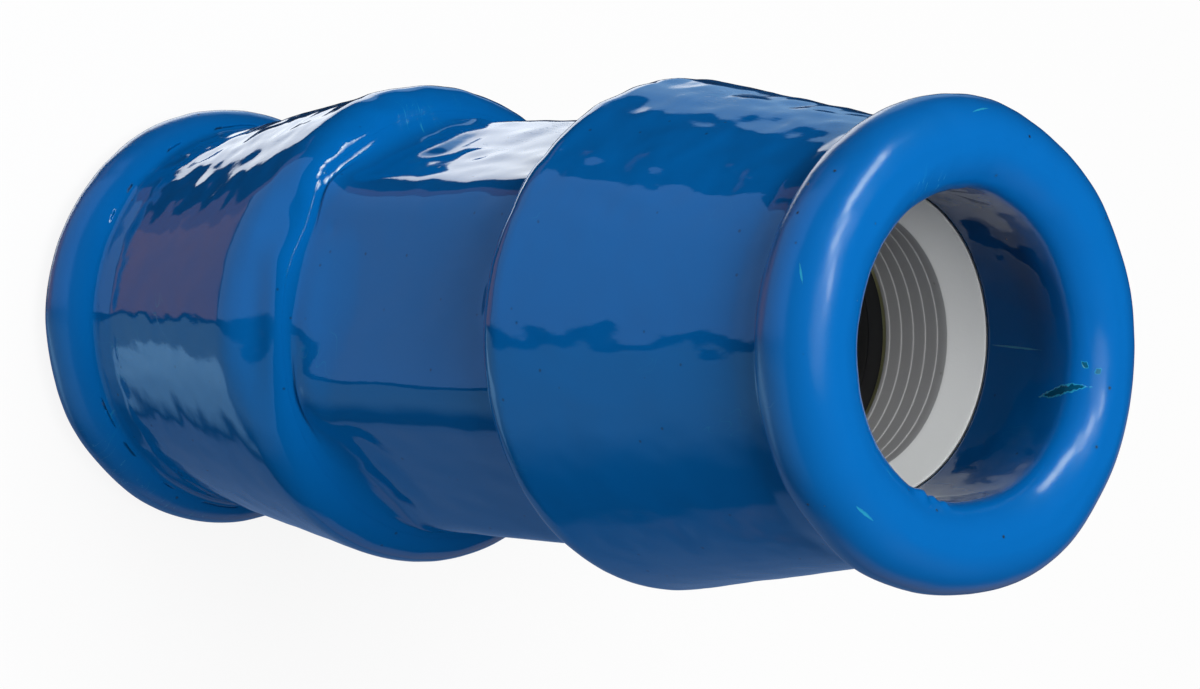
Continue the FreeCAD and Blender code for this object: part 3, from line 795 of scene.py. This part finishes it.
# Corners of the sections of seal, pressing ring and washer: radius, height and rounding.
SEAL_CORNERS = [
    (21.65, SEAL_START, 0.5), (24.7, SEAL_START, 0.5), (25.9, SEAL_START + 1.2, 0.5),
    (25.9, SEAL_END - 1.2, 0.5), (24.7, SEAL_END, 0.5), (21.65, SEAL_END, 0.5),
]
PUSHER_CORNERS = [
    (21.6, PUSHER_START, 0.2), (25.8, PUSHER_START, 0.2), (25.8, PUSHER_START + 1.9, 0.15),
    (FLANGE, PUSHER_START + 1.9, 0.2), (FLANGE, PUSHER_END, 0.2), (21.6, PUSHER_END, 0.2),
]
WASHER_CORNERS = [
    (21.45, WASHER_START, 0.12), (FLANGE, WASHER_START, 0.12), (FLANGE, WASHER_END, 0.12),
    (21.45, WASHER_END, 0.12),
]


def make_turned_ring(name, end_name, corners, body, slot, material):
    """Ring with rounded edges: its section turned round the axis. It replaces its end's CAD node that has its
    slot's name."""
    section = rounded_section(corners, 1.5)
    points = place(section[:, 0], section[:, 1], turn_angles(RING_COLUMNS), ENDS[end_name])
    make_piece(f"{end_name}_{name}", points, body, slot, material, f"{end_name}_{slot}")


def feed(tree, made, inputs):
    """Sets a node's sockets to values, or links them to the sockets given."""
    for socket, value in inputs.items():
        if isinstance(value, bpy.types.NodeSocket):
            tree.links.new(value, made.inputs[socket])
        else:
            made.inputs[socket].default_value = value


def node(tree, kind, inputs=None, **settings):
    """Node with its settings made and its sockets fed."""
    made = tree.nodes.new(kind)
    for name, value in settings.items():
        setattr(made, name, value)
    feed(tree, made, inputs or {})
    return made


def new_group(name, inputs, outputs):
    """Node group with named sockets, and its input and output nodes."""
    tree = bpy.data.node_groups.new(name, "ShaderNodeTree")
    for label, kind in inputs:
        tree.interface.new_socket(name=label, in_out="INPUT", socket_type=f"NodeSocket{kind}")
    for label, kind in outputs:
        tree.interface.new_socket(name=label, in_out="OUTPUT", socket_type=f"NodeSocket{kind}")
    return tree, tree.nodes.new("NodeGroupInput").outputs, tree.nodes.new("NodeGroupOutput")


def floats(*labels):
    """Sockets for numbers, by their labels."""
    return [(label, "Float") for label in labels]


def math_node(tree, operation, first, second=0.0, third=0.0, clamp=False):
    """Result of a maths node on one, two or three values."""
    made = node(tree, "ShaderNodeMath", {0: first, 1: second, 2: third}, operation=operation, use_clamp=clamp)
    return made.outputs[0]


def vector_node(tree, operation, inputs):
    """Outputs of a vector maths node: the vector, and the number."""
    return node(tree, "ShaderNodeVectorMath", inputs, operation=operation).outputs


def band(tree, value, low, high):
    """Smooth rise from nought at low to one at high."""
    inputs = {"Value": value, "From Min": low, "From Max": high}
    return node(tree, "ShaderNodeMapRange", inputs, interpolation_type="SMOOTHSTEP").outputs["Result"]


def mix(tree, share, first, second):
    """Colour that goes from the first to the second as the share goes from nought to one."""
    return node(tree, "ShaderNodeMix", {0: share, 6: first, 7: second}, data_type="RGBA").outputs[2]


def cloud(tree, where, scale, detail):
    """Soft noise from nought to one."""
    inputs = {"Vector": where, "Scale": scale, "Detail": detail}
    return node(tree, "ShaderNodeTexNoise", inputs).outputs["Fac"]


def cells(tree, where, scale):
    """Distance to the nearest cell's point, and that cell's own random value."""
    made = node(tree, "ShaderNodeTexVoronoi", {"Vector": where, "Scale": scale}).outputs
    return made["Distance"], node(tree, "ShaderNodeSeparateColor", {0: made["Color"]}).outputs[0]


def attribute(tree, label):
    """Value of a piece's own attribute."""
    return node(tree, "ShaderNodeAttribute", attribute_name=label).outputs["Fac"]


def build_grain(name):
    """Surface grain: coarse and fine noise added into one height."""
    sockets = [("Vector", "Vector"), *floats("Coarse scale", "Fine scale", "Fine share")]
    tree, given, out = new_group(name, sockets, floats("Height"))
    coarse = cloud(tree, given[0], given[1], 1.0)
    fine = cloud(tree, given[0], given[2], 2.0)
    feed(tree, out, {0: math_node(tree, "MULTIPLY_ADD", fine, given[3], coarse)})


# Where the handling marks set in: a speck by the distance from its cell's point and by its cell's random
# value, and a scratch by the noise's distance from its middle value and by a broader noise's value.
SPECK_EDGE = (0.16, 0.06)
SPECK_CHANCE = (0.86, 0.9)
SCRATCH_EDGE = (0.006, 0.0)
SCRATCH_AREA = (0.58, 0.7)


def build_marks(name):
    """Handling marks: small specks and short fine scratches, as masks and a height."""
    sockets = [("Vector", "Vector"), *floats("Speck scale", "Scratch scale", "Amount")]
    tree, given, out = new_group(name, sockets, floats("Specks", "Scratches", "Height"))
    distance, chance = cells(tree, given[0], given[1])
    specks = math_node(
        tree, "MULTIPLY", band(tree, distance, *SPECK_EDGE), band(tree, chance, *SPECK_CHANCE)
    )
    stretched = {"Vector": given[0], "Rotation": (0.5, 0.9, 0.3), "Scale": (1.0, 14.0, 2.0)}
    lines = cloud(tree, node(tree, "ShaderNodeMapping", stretched).outputs[0], given[2], 1.0)
    off_line = math_node(tree, "ABSOLUTE", math_node(tree, "SUBTRACT", lines, 0.5))
    local = band(tree, cloud(tree, given[0], 40.0, 3.0), *SCRATCH_AREA)
    scratches = math_node(tree, "MULTIPLY", band(tree, off_line, *SCRATCH_EDGE), local)
    specks = math_node(tree, "MULTIPLY", specks, given[3], clamp=True)
    scratches = math_node(tree, "MULTIPLY", scratches, given[3], clamp=True)
    feed(tree, out, {0: specks, 1: scratches, 2: math_node(tree, "ADD", specks, scratches)})


# Where a scar shows: within this distance of its centre in metres, and where the share of its half width plus
# the raggedness is this much past its outline, for the whole scar and for its inside.
SCAR_REACH = (0.0085, 0.0075)
SCAR_WHOLE = (0.0, -0.15)
SCAR_INNER = (-0.24, -0.4)


def build_scar(name):
    """Leaf-shaped scar round a centre: its half width falls off as one minus the square of the share of its
    length. Gives its inside and its raised edge as masks."""
    sockets = [(label, "Vector") for label in ("Vector", "Centre", "Along", "Across")]
    tree, given, out = new_group(name, sockets + floats("Ragged"), floats("Inside", "Edge"))
    off = vector_node(tree, "SUBTRACT", {0: given["Vector"], 1: given["Centre"]})[0]
    share = vector_node(tree, "DOT_PRODUCT", {0: off, 1: given["Along"]})[1]
    aside = vector_node(tree, "DOT_PRODUCT", {0: off, 1: given["Across"]})[1]
    near = band(tree, vector_node(tree, "LENGTH", {0: off})[1], *SCAR_REACH)
    width = math_node(tree, "SUBTRACT", 1.0, math_node(tree, "MULTIPLY", share, share))
    ragged = math_node(tree, "ADD", math_node(tree, "ABSOLUTE", aside), given["Ragged"])
    over = math_node(tree, "SUBTRACT", ragged, width)
    inside = math_node(tree, "MULTIPLY", band(tree, over, *SCAR_INNER), near)
    whole = math_node(tree, "MULTIPLY", band(tree, over, *SCAR_WHOLE), near)
    feed(tree, out, {0: inside, 1: math_node(tree, "SUBTRACT", whole, inside, clamp=True)})


def build_drift(name):
    """Tone drift: a colour made lighter and darker by broad soft noise."""
    sockets = [("Color", "Color"), ("Vector", "Vector"), *floats("Scale", "Amount")]
    tree, given, out = new_group(name, sockets, [("Color", "Color")])
    noise = cloud(tree, given[1], given[2], 3.0)
    spread = math_node(tree, "MULTIPLY", math_node(tree, "SUBTRACT", noise, 0.5), given[3])
    inputs = {"Color": given[0], "Value": math_node(tree, "ADD", spread, 1.0)}
    feed(tree, out, {0: node(tree, "ShaderNodeHueSaturation", inputs).outputs[0]})


PANEL_ANGLES = ("Azimuth", "Elevation", "Half width", "Half height", "Softness", "Far softness")


def build_panel(name):
    """Soft panel of light: one inside a range of azimuth and elevation round its centre, fading at its edges.
    Its side of greater azimuth has a softness of its own."""
    sockets = [("Vector", "Vector"), *floats(*PANEL_ANGLES)]
    tree, given, out = new_group(name, sockets, floats("Value"))
    back = math_node(tree, "MULTIPLY", given["Azimuth"], -1.0)
    turned = node(
        tree, "ShaderNodeVectorRotate", {"Vector": given["Vector"], "Angle": back}, rotation_type="Z_AXIS"
    )
    parts = node(tree, "ShaderNodeSeparateXYZ", {0: turned.outputs[0]}).outputs
    aside = math_node(tree, "ARCTAN2", parts[1], parts[0])
    level = math_node(tree, "ARCSINE", parts[2])
    above = math_node(tree, "ABSOLUTE", math_node(tree, "SUBTRACT", level, given["Elevation"]))
    near = math_node(tree, "ADD", given["Half width"], aside)
    far = math_node(tree, "SUBTRACT", given["Half width"], aside)
    inside = math_node(tree, "SUBTRACT", given["Half height"], above)
    value = 1.0
    for gap, softness in ((near, "Softness"), (far, "Far softness"), (inside, "Softness")):
        edge = band(tree, math_node(tree, "DIVIDE", gap, given[softness]), -0.5, 0.5)
        value = math_node(tree, "MULTIPLY", value, edge)
    feed(tree, out, {0: value})


GROUP_BUILDERS = {
    "surface_grain": build_grain,
    "handling_marks": build_marks,
    "leaf_scar": build_scar,
    "tone_drift": build_drift,
    "soft_panel": build_panel,
}


def place_group(tree, name, inputs):
    """Outputs of a node group that is placed with its own values. The group is built at its first use."""
    if name not in bpy.data.node_groups:
        GROUP_BUILDERS[name](name)
    return node(tree, "ShaderNodeGroup", inputs, node_tree=bpy.data.node_groups[name]).outputs


def drifting(tree, colour, where, scale, amount):
    """A colour with tone drift."""
    inputs = {"Color": colour, "Vector": where, "Scale": scale, "Amount": amount}
    return place_group(tree, "tone_drift", inputs)[0]


def grain(tree, where, coarse, fine, share):
    """Height of the surface grain."""
    inputs = {"Vector": where, "Coarse scale": coarse, "Fine scale": fine, "Fine share": share}
    return place_group(tree, "surface_grain", inputs)[0]


def bump(tree, height, strength, distance):
    """Normal that a height gives."""
    inputs = {"Height": height, "Strength": strength, "Distance": distance}
    return node(tree, "ShaderNodeBump", inputs).outputs[0]


def solid(colour):
    """A colour property as a socket value."""
    return (*colour, 1.0)


# Colours of scratches and specks in the skin, of a scar's raised edge, of the painted shade deep in the
# mouth, of the painted shade over the ridges and of dust.
SCRATCH_BLUE = (0.02, 0.34, 0.62, 1.0)
SPECK_BLUE = (0.01, 0.03, 0.07, 1.0)
EDGE_BLUE = (0.02, 0.36, 0.62, 1.0)
MOUTH_SHADE_BLUE = (0.0, 0.01, 0.03, 1.0)
RIDGE_SHADE_GREY = (0.42, 0.42, 0.42, 1.0)
DUST_GREY = (0.2, 0.19, 0.17, 1.0)
WHITE = (1.0, 1.0, 1.0, 1.0)

# Scars in the upper lip: azimuth, radius and height of both ends, half width, and how dark the inside is.
SCARS = [
    ((78.9, 24.4, 92.0), (84.7, 26.3, 101.2), 0.85, 1.0),
    ((93.4, 25.0, 99.6), (91.2, 25.9, 100.6), 0.5, 0.9),
    ((91.4, 26.7, 101.5), (89.6, 27.3, 101.9), 0.45, 0.8),
    ((321.0, 35.9, 101.7), (328.0, 35.0, 102.1), 0.14, 0.0),
    ((260.0, 38.2, 98.8), (264.7, 37.6, 99.8), 0.16, 0.0),
    ((186.5, 36.8, 100.8), (193.0, 36.0, 101.4), 0.13, 0.0),
    ((97.9, 25.4, 79.5), (96.5, 24.6, 92.0), 0.16, 0.0),
]


# Heights in the skin's bump, where the orange peel's is one: a scar's edge, its inside against its edge, and
# the handling marks.
SCAR_EDGE = 2.0
SCAR_INSIDE = -1.5
MARK_HEIGHT = -0.6
# The skin's roughness where it is glossy, and what satin and handling marks add to it.
GLOSSY = 0.05
SATIN_ROUGHNESS = 0.17
MARK_ROUGHNESS = 0.2
# Share of the painted shade's colour deep in the mouth, and how ragged the scars' outlines are.
MOUTH_SHADE_SHARE = 0.6
RAGGEDNESS = 1.1


def blue_skin(tree, where, finish):
    """Glossy blue plastic skin with orange peel, satin where it was rolled into the lip, with painted shade
    deep in the mouth, handling marks and the lip's scars."""
    satin = attribute(tree, "satin")
    marks = place_group(tree, "handling_marks", {
        "Vector": where, "Speck scale": 420.0, "Scratch scale": 60.0,
        "Amount": math_node(tree, "MULTIPLY_ADD", satin, 0.4, 0.6),
    })
    colour = drifting(tree, solid(finish.skin), where, 22.0, 0.12)
    colour = mix(tree, marks["Scratches"], colour, SCRATCH_BLUE)
    colour = mix(tree, marks["Specks"], colour, SPECK_BLUE)
    ragged = math_node(
        tree, "MULTIPLY_ADD", cloud(tree, where, 1500.0, 2.0), RAGGEDNESS, -RAGGEDNESS / 2
    )
    cut = 0.0
    for *ends, half_width, dark in SCARS:
        start, stop = (place(radius, height, math.radians(azimuth), 1) for azimuth, radius, height in ends)
        centre = (start + stop) / 2
        along = (stop - start) / 2
        across = np.cross(np.array([centre[0], centre[1], 0.0]), along)
        across /= np.linalg.norm(across)
        scar = place_group(tree, "leaf_scar", {
            "Vector": where,
            "Centre": tuple(centre),
            "Along": tuple(along / (along @ along)),
            "Across": tuple(across / (half_width * MM)),
            "Ragged": ragged,
        })
        colour = mix(tree, scar["Edge"], colour, EDGE_BLUE)
        inner = (0.02 * (1.0 - dark), 0.36 - 0.27 * dark, 0.62 - 0.44 * dark, 1.0)
        colour = mix(tree, scar["Inside"], colour, inner)
        cut = math_node(tree, "MULTIPLY_ADD", scar["Inside"], SCAR_INSIDE * dark, cut)
        cut = math_node(tree, "ADD", scar["Edge"], cut)
    # Painted shade deep in the mouth: the colour darkens there by the deep attribute.
    deep = math_node(tree, "MULTIPLY", attribute(tree, "deep"), MOUTH_SHADE_SHARE)
    rough = math_node(tree, "MULTIPLY_ADD", satin, SATIN_ROUGHNESS, GLOSSY)
    peel = grain(tree, where, 260.0, 1400.0, 0.25)
    height = math_node(tree, "MULTIPLY_ADD", marks["Height"], MARK_HEIGHT, peel)
    height = math_node(tree, "MULTIPLY_ADD", cut, SCAR_EDGE, height)
    return {
        "Base Color": mix(tree, deep, colour, MOUTH_SHADE_BLUE),
        "Roughness": math_node(tree, "MULTIPLY_ADD", marks["Height"], MARK_ROUGHNESS, rough),
        "IOR": 1.6,
        "Normal": bump(tree, height, 0.5, 0.00006),
    }


def galvanised_iron(tree, where, finish):
    """Galvanised iron: grey metal with zinc flakes, dull patches and a cast grain."""
    flake = cells(tree, where, 350.0)[1]
    return {
        "Base Color": drifting(tree, solid(finish.iron), where, 90.0, 0.5),
        "Metallic": 0.6,
        "Roughness": math_node(tree, "MULTIPLY_ADD", flake, 0.15, 0.33),
        "Normal": bump(tree, grain(tree, where, 500.0, 2500.0, 0.5), 0.5, 0.00008),
    }


def white_acetal(tree, where, finish):
    """White acetal: matt and slightly uneven, with painted shade over the ridges, a fine grain and grey
    specks of dust."""
    inputs = {"Vector": where, "Speck scale": 500.0, "Scratch scale": 120.0, "Amount": 0.45}
    specks = place_group(tree, "handling_marks", inputs)["Specks"]
    # Painted shade over the ridges, by the shade attribute.
    shaded = mix(tree, attribute(tree, "shade"), solid(finish.grip), RIDGE_SHADE_GREY)
    return {
        "Base Color": mix(tree, specks, drifting(tree, shaded, where, 60.0, 0.12), DUST_GREY),
        "Roughness": 0.5,
        "Normal": bump(tree, grain(tree, where, 700.0, 3000.0, 0.5), 0.4, 0.00005),
    }


def plain_finish(colour, roughness, metallic, coarse, depth, drift):
    """Builder of a plain matt or plated finish with its own grain and tone drift; colour is the name of the
    finish's colour."""
    def build(tree, where, finish):
        height = grain(tree, where, coarse, coarse * 4, 0.4)
        return {
            "Base Color": drifting(tree, solid(getattr(finish, colour)), where, 80.0, drift),
            "Metallic": metallic,
            "Roughness": math_node(tree, "MULTIPLY_ADD", height, 0.15, roughness),
            "Normal": bump(tree, height, 0.5, depth),
        }
    return build


# Each of these gives the values and sockets that its material's shader takes.
MATERIAL_BUILDERS = {
    "blue_skin": blue_skin,
    "galvanised_iron": galvanised_iron,
    "white_acetal": white_acetal,
    "black_rubber": plain_finish("seal", 0.5, 0.0, 900.0, 0.00006, 0.3),
    "black_nylon": plain_finish("pusher", 0.35, 0.0, 700.0, 0.00004, 0.3),
    "passivated_steel": plain_finish("washer", 0.2, 0.9, 500.0, 0.00002, 0.5),
}


def surface(name, finish):
    """A material by its name. At its first use it is built on the object's own coordinates."""
    if name in bpy.data.materials:
        return bpy.data.materials[name]
    material = bpy.data.materials.new(name)
    material.use_nodes = True
    tree = material.node_tree
    shader = next(item for item in tree.nodes if item.type == "BSDF_PRINCIPLED")
    where = node(tree, "ShaderNodeTexCoord").outputs["Object"]
    feed(tree, shader, MATERIAL_BUILDERS[name](tree, where, finish))
    return material


# Soft panels seen in reflections: azimuth, elevation, half width, half height, softness and far softness in
# degrees, and colour.
PANELS = [
    (242.7, -31, 35.3, 31, 1.6, 1.6, (0.28, 0.47, 0.9)),
    (243.2, -78, 36, 14, 3, 3, (0.4, 0.2, 0.15)),
    (143.5, -66, 18.5, 21, 4, 4, (1.9, 2.0, 2.1)),
    (143.5, -38, 18.5, 7, 4, 4, (0.35, 0.6, 0.9)),
    (305.5, -45, 21.5, 45, 1.6, 32, (0.17, 0.32, 0.45)),
    (200, -57, 7, 17, 3, 3, (0.22, 0.12, 0.14)),
    (330, -74, 22, 14, 6, 20, (0.27, 0.55, 0.85)),
    (50, -62, 45, 26, 8, 8, (0.1, 0.17, 0.32)),
    (50, -22, 45, 12, 6, 6, (0.2, 0.17, 0.16)),
]
# Colour of reflections between the panels, and the plain light that falls on the object.
DARK_ROOM = (0.01, 0.011, 0.014)
AMBIENT = 0.17


def make_world():
    """White to the camera, a plain grey light on the object, and in reflections a dark room with soft
    panels."""
    world = bpy.data.worlds.new("studio")
    world.use_nodes = True
    tree = world.node_tree
    tree.nodes.clear()
    where = node(tree, "ShaderNodeTexCoord").outputs["Generated"]
    total = DARK_ROOM
    for *angles, colour in PANELS:
        inputs = {"Vector": where, **dict(zip(PANEL_ANGLES, map(math.radians, angles)))}
        value = place_group(tree, "soft_panel", inputs)[0]
        scaled = vector_node(tree, "SCALE", {0: colour, "Scale": value})[0]
        total = vector_node(tree, "ADD", {0: scaled, 1: total})[0]
    rays = node(tree, "ShaderNodeLightPath").outputs
    plain = math_node(tree, "MULTIPLY_ADD", rays["Is Camera Ray"], 1.0 - AMBIENT, AMBIENT)
    shiny = mix(tree, rays["Is Glossy Ray"], plain, total)
    light = node(tree, "ShaderNodeBackground", {"Color": shiny, "Strength": 1.0})
    output = node(tree, "ShaderNodeOutputWorld", {"Surface": light.outputs[0]})
    output.is_active_output = True
    bpy.context.scene.world = world


# Half the floor's width in metres, and how much of what the camera sees of it is plain white.
FLOOR_HALF = 3.0
FLOOR_GLOW = 0.9


def make_floor(finish):
    """Pale floor under the coupling: white to the camera but for the coupling's soft shadow."""
    mesh = bpy.data.meshes.new("floor")
    corners = [(-FLOOR_HALF, -FLOOR_HALF, 0), (FLOOR_HALF, -FLOOR_HALF, 0)]
    corners += [(FLOOR_HALF, FLOOR_HALF, 0), (-FLOOR_HALF, FLOOR_HALF, 0)]
    mesh.from_pydata(corners, [], [(0, 1, 2, 3)])
    material = bpy.data.materials.new("pale_floor")
    material.use_nodes = True
    tree = material.node_tree
    tree.nodes.clear()
    seen = node(tree, "ShaderNodeLightPath").outputs["Is Camera Ray"]
    paper = mix(tree, seen, solid(finish.floor), WHITE)
    matt = node(tree, "ShaderNodeBsdfDiffuse", {"Color": paper})
    glow = node(tree, "ShaderNodeEmission", {"Color": WHITE, "Strength": 1.0})
    share = math_node(tree, "MULTIPLY", seen, FLOOR_GLOW)
    mixed = node(tree, "ShaderNodeMixShader", {0: share, 1: matt.outputs[0], 2: glow.outputs[0]})
    node(tree, "ShaderNodeOutputMaterial", {"Surface": mixed.outputs[0]})
    mesh.materials.append(material)
    floor = bpy.data.objects.new("floor", mesh)
    bpy.context.scene.collection.objects.link(floor)
    floor.visible_glossy = False


def make_lamp(name, size, power, place_and_aim):
    """Round area lamp that shines along its own -Z axis, at a place and turn given as a matrix."""
    lamp = bpy.data.lights.new(name, "AREA")
    lamp.shape = "DISK"
    lamp.size = size
    lamp.energy = power
    holder = bpy.data.objects.new(name, lamp)
    bpy.context.scene.collection.objects.link(holder)
    holder.matrix_world = place_and_aim
    return holder


# Area lamps: azimuth, elevation, distance in metres, size in metres, power in watts.
LAMPS = [
    (262, 70, 1.4, 0.7, 9.0),
    (203, 72, 1.4, 0.7, 8.5),
    (40, 35, 1.6, 0.9, 1.3),
]


def make_lamps():
    """Soft area lamps that aim at the coupling's middle and don't show in reflections."""
    target = Matrix.Translation((0.0, 0.0, MIDDLE * MM))
    for number, (azimuth, elevation, distance, size, power) in enumerate(LAMPS, start=1):
        turn = Matrix.Rotation(math.radians(azimuth - 270), 4, "Z")
        tilt = Matrix.Rotation(math.radians(90 - elevation), 4, "X")
        away = Matrix.Translation((0.0, 0.0, distance))
        holder = make_lamp(f"lamp_{number}", size, power, target @ turn @ tilt @ away)
        holder.visible_glossy = False


# Near lamps seen only in reflections: place, the point they aim at and size in metres, their beam in degrees
# and power in watts. All but the last make the lip's streak, and the last one lights the bulge.
HIGHLIGHTS = [
    ((-0.27, -0.045, 0.375), (-0.026, -0.026, 0.204), 0.22, 14, 0.011),
    ((-0.235, -0.095, 0.4), (-0.021, -0.030, 0.204), 0.22, 14, 0.011),
    ((-0.19, -0.12, 0.43), (-0.015, -0.032, 0.205), 0.22, 14, 0.011),
    ((-0.12, -0.11, 0.47), (-0.008, -0.034, 0.205), 0.19, 12, 0.0062),
    ((-0.06, -0.07, 0.495), (-0.002, -0.034, 0.205), 0.19, 8, 0.0035),
    ((-0.178, -0.044, 0.33), (-0.021, -0.032, 0.0745), 0.1, 5, 0.001),
]
HIGHLIGHT_COLOUR = (0.92, 1.0, 0.8)


def make_highlights():
    """Small near lamps with narrow beams that only show in reflections: soft white streaks on lip and
    bulge."""
    for number, (spot, target, size, beam, power) in enumerate(HIGHLIGHTS, start=1):
        aim = (Vector(target) - Vector(spot)).to_track_quat("-Z", "Y").to_matrix().to_4x4()
        holder = make_lamp(f"highlight_{number}", size, power, Matrix.Translation(spot) @ aim)
        holder.data.spread = math.radians(beam)
        holder.data.color = HIGHLIGHT_COLOUR
        holder.visible_camera = False
        holder.visible_diffuse = False


# The camera's place in metres, its lens in millimetres, its heading in degrees, and the cosines of its tilt
# and its roll, as they were fitted to the photograph.
CAMERA_PLACE = (0.06087, -0.47678, 0.66926)
CAMERA_LENS = 129.618
CAMERA_HEADING = 7.0
CAMERA_TILT = 0.7554
CAMERA_ROLL = -0.0434


def make_camera():
    """Camera of the photograph: it looks down past the open lip and is rolled so that the coupling lies
    across."""
    data = bpy.data.cameras.new("camera")
    data.sensor_width = 36.0
    data.lens = CAMERA_LENS
    camera = bpy.data.objects.new("camera", data)
    turn = Matrix.Rotation(math.radians(CAMERA_HEADING), 4, "Z")
    tilt = Matrix.Rotation(math.acos(CAMERA_TILT), 4, "X")
    roll = Matrix.Rotation(math.acos(CAMERA_ROLL), 4, "Z")
    camera.matrix_world = Matrix.Translation(CAMERA_PLACE) @ turn @ tilt @ roll
    bpy.context.scene.collection.objects.link(camera)
    bpy.context.scene.camera = camera


def sizes():
    """The sizes and colours that the scene holds, lengths in millimetres."""
    scene = bpy.context.scene
    groups = (scene.coupling_skin, scene.coupling_metal, scene.coupling_grip)
    return (*map(Millimetres, groups), scene.coupling_finish)


class OBJECT_OT_coupling_bells(bpy.types.Operator):
    """Make the blue bell jackets of both nuts, with their rolled lips"""

    bl_idname = "coupling.bells"
    bl_label = "Bells"

    def execute(self, context):
        skin, metal, _, finish = sizes()
        for end_name in ENDS:
            make_bell(end_name, skin, metal, surface("blue_skin", finish))
        return {"FINISHED"}


class OBJECT_OT_coupling_hexagon(bpy.types.Operator):
    """Make the blue skin of the hexagon with its two round collars"""

    bl_idname = "coupling.hexagon"
    bl_label = "Hexagon skin"

    def execute(self, context):
        skin, metal, _, finish = sizes()
        make_hexagon_skin(skin, metal, surface("blue_skin", finish))
        return {"FINISHED"}


class OBJECT_OT_coupling_metal(bpy.types.Operator):
    """Make the threaded metal body and the two gland nuts"""

    bl_idname = "coupling.metal"
    bl_label = "Body and nuts"

    def execute(self, context):
        skin, metal, _, finish = sizes()
        iron = surface("galvanised_iron", finish)
        make_body(metal, iron)
        for end_name in ENDS:
            make_gland_nut(end_name, skin, metal, iron)
        return {"FINISHED"}


class OBJECT_OT_coupling_grips(bpy.types.Operator):
    """Make the toothed white grip rings"""

    bl_idname = "coupling.grips"
    bl_label = "Grip rings"

    def execute(self, context):
        _, metal, grip, finish = sizes()
        for end_name in ENDS:
            make_grip_ring(end_name, metal, grip, surface("white_acetal", finish))
        return {"FINISHED"}


class OBJECT_OT_coupling_rings(bpy.types.Operator):
    """Make the seals, the pressing rings and the slip washers"""

    bl_idname = "coupling.rings"
    bl_label = "Inner rings"

    def execute(self, context):
        finish = sizes()[3]
        rubber, nylon, plated = (
            surface(name, finish) for name in ("black_rubber", "black_nylon", "passivated_steel")
        )
        for end_name in ENDS:
            make_turned_ring("seal_ring", end_name, SEAL_CORNERS, "middle", "seal", rubber)
            make_turned_ring("pusher", end_name, PUSHER_CORNERS, "middle", "pressing_ring", nylon)
            make_turned_ring("washer", end_name, WASHER_CORNERS, f"{end_name}_rings", "slip_washer", plated)
        return {"FINISHED"}


class OBJECT_OT_coupling_stage(bpy.types.Operator):
    """Make the floor, the studio light and the camera"""

    bl_idname = "coupling.stage"
    bl_label = "Stage"

    def execute(self, context):
        make_floor(sizes()[3])
        make_world()
        make_lamps()
        make_highlights()
        make_camera()
        context.scene.view_settings.view_transform = "Standard"
        return {"FINISHED"}


class VIEW3D_PT_coupling(bpy.types.Panel):
    """The coupling's pieces and their sizes"""

    bl_label = "Coupling"
    bl_idname = "VIEW3D_PT_coupling"
    bl_space_type = "VIEW_3D"
    bl_region_type = "UI"
    bl_category = "Coupling"

    def draw(self, context):
        for step in STEPS:
            self.layout.operator(step.bl_idname)
        for label in GROUPS:
            group_values = getattr(context.scene, label)
            for name in group_values.__annotations__:
                self.layout.prop(group_values, name)


STEPS = (
    OBJECT_OT_coupling_bells, OBJECT_OT_coupling_hexagon, OBJECT_OT_coupling_metal, OBJECT_OT_coupling_grips,
    OBJECT_OT_coupling_rings, OBJECT_OT_coupling_stage,
)
GROUPS = {
    "coupling_skin": CouplingSkinSizes,
    "coupling_metal": CouplingMetalSizes,
    "coupling_grip": CouplingGripSizes,
    "coupling_finish": CouplingFinish,
}


def register():
    for item in (*GROUPS.values(), *STEPS, VIEW3D_PT_coupling):
        bpy.utils.register_class(item)
    for label, kind in GROUPS.items():
        setattr(bpy.types.Scene, label, PointerProperty(type=kind))


def unregister():
    for label in GROUPS:
        delattr(bpy.types.Scene, label)
    for item in reversed((*GROUPS.values(), *STEPS, VIEW3D_PT_coupling)):
        bpy.utils.unregister_class(item)


def main():
    """Register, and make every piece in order."""
    register()
    for step in STEPS:
        area, name = step.bl_idname.split(".")
        getattr(getattr(bpy.ops, area), name)()


if __name__ == "__main__":
    main()
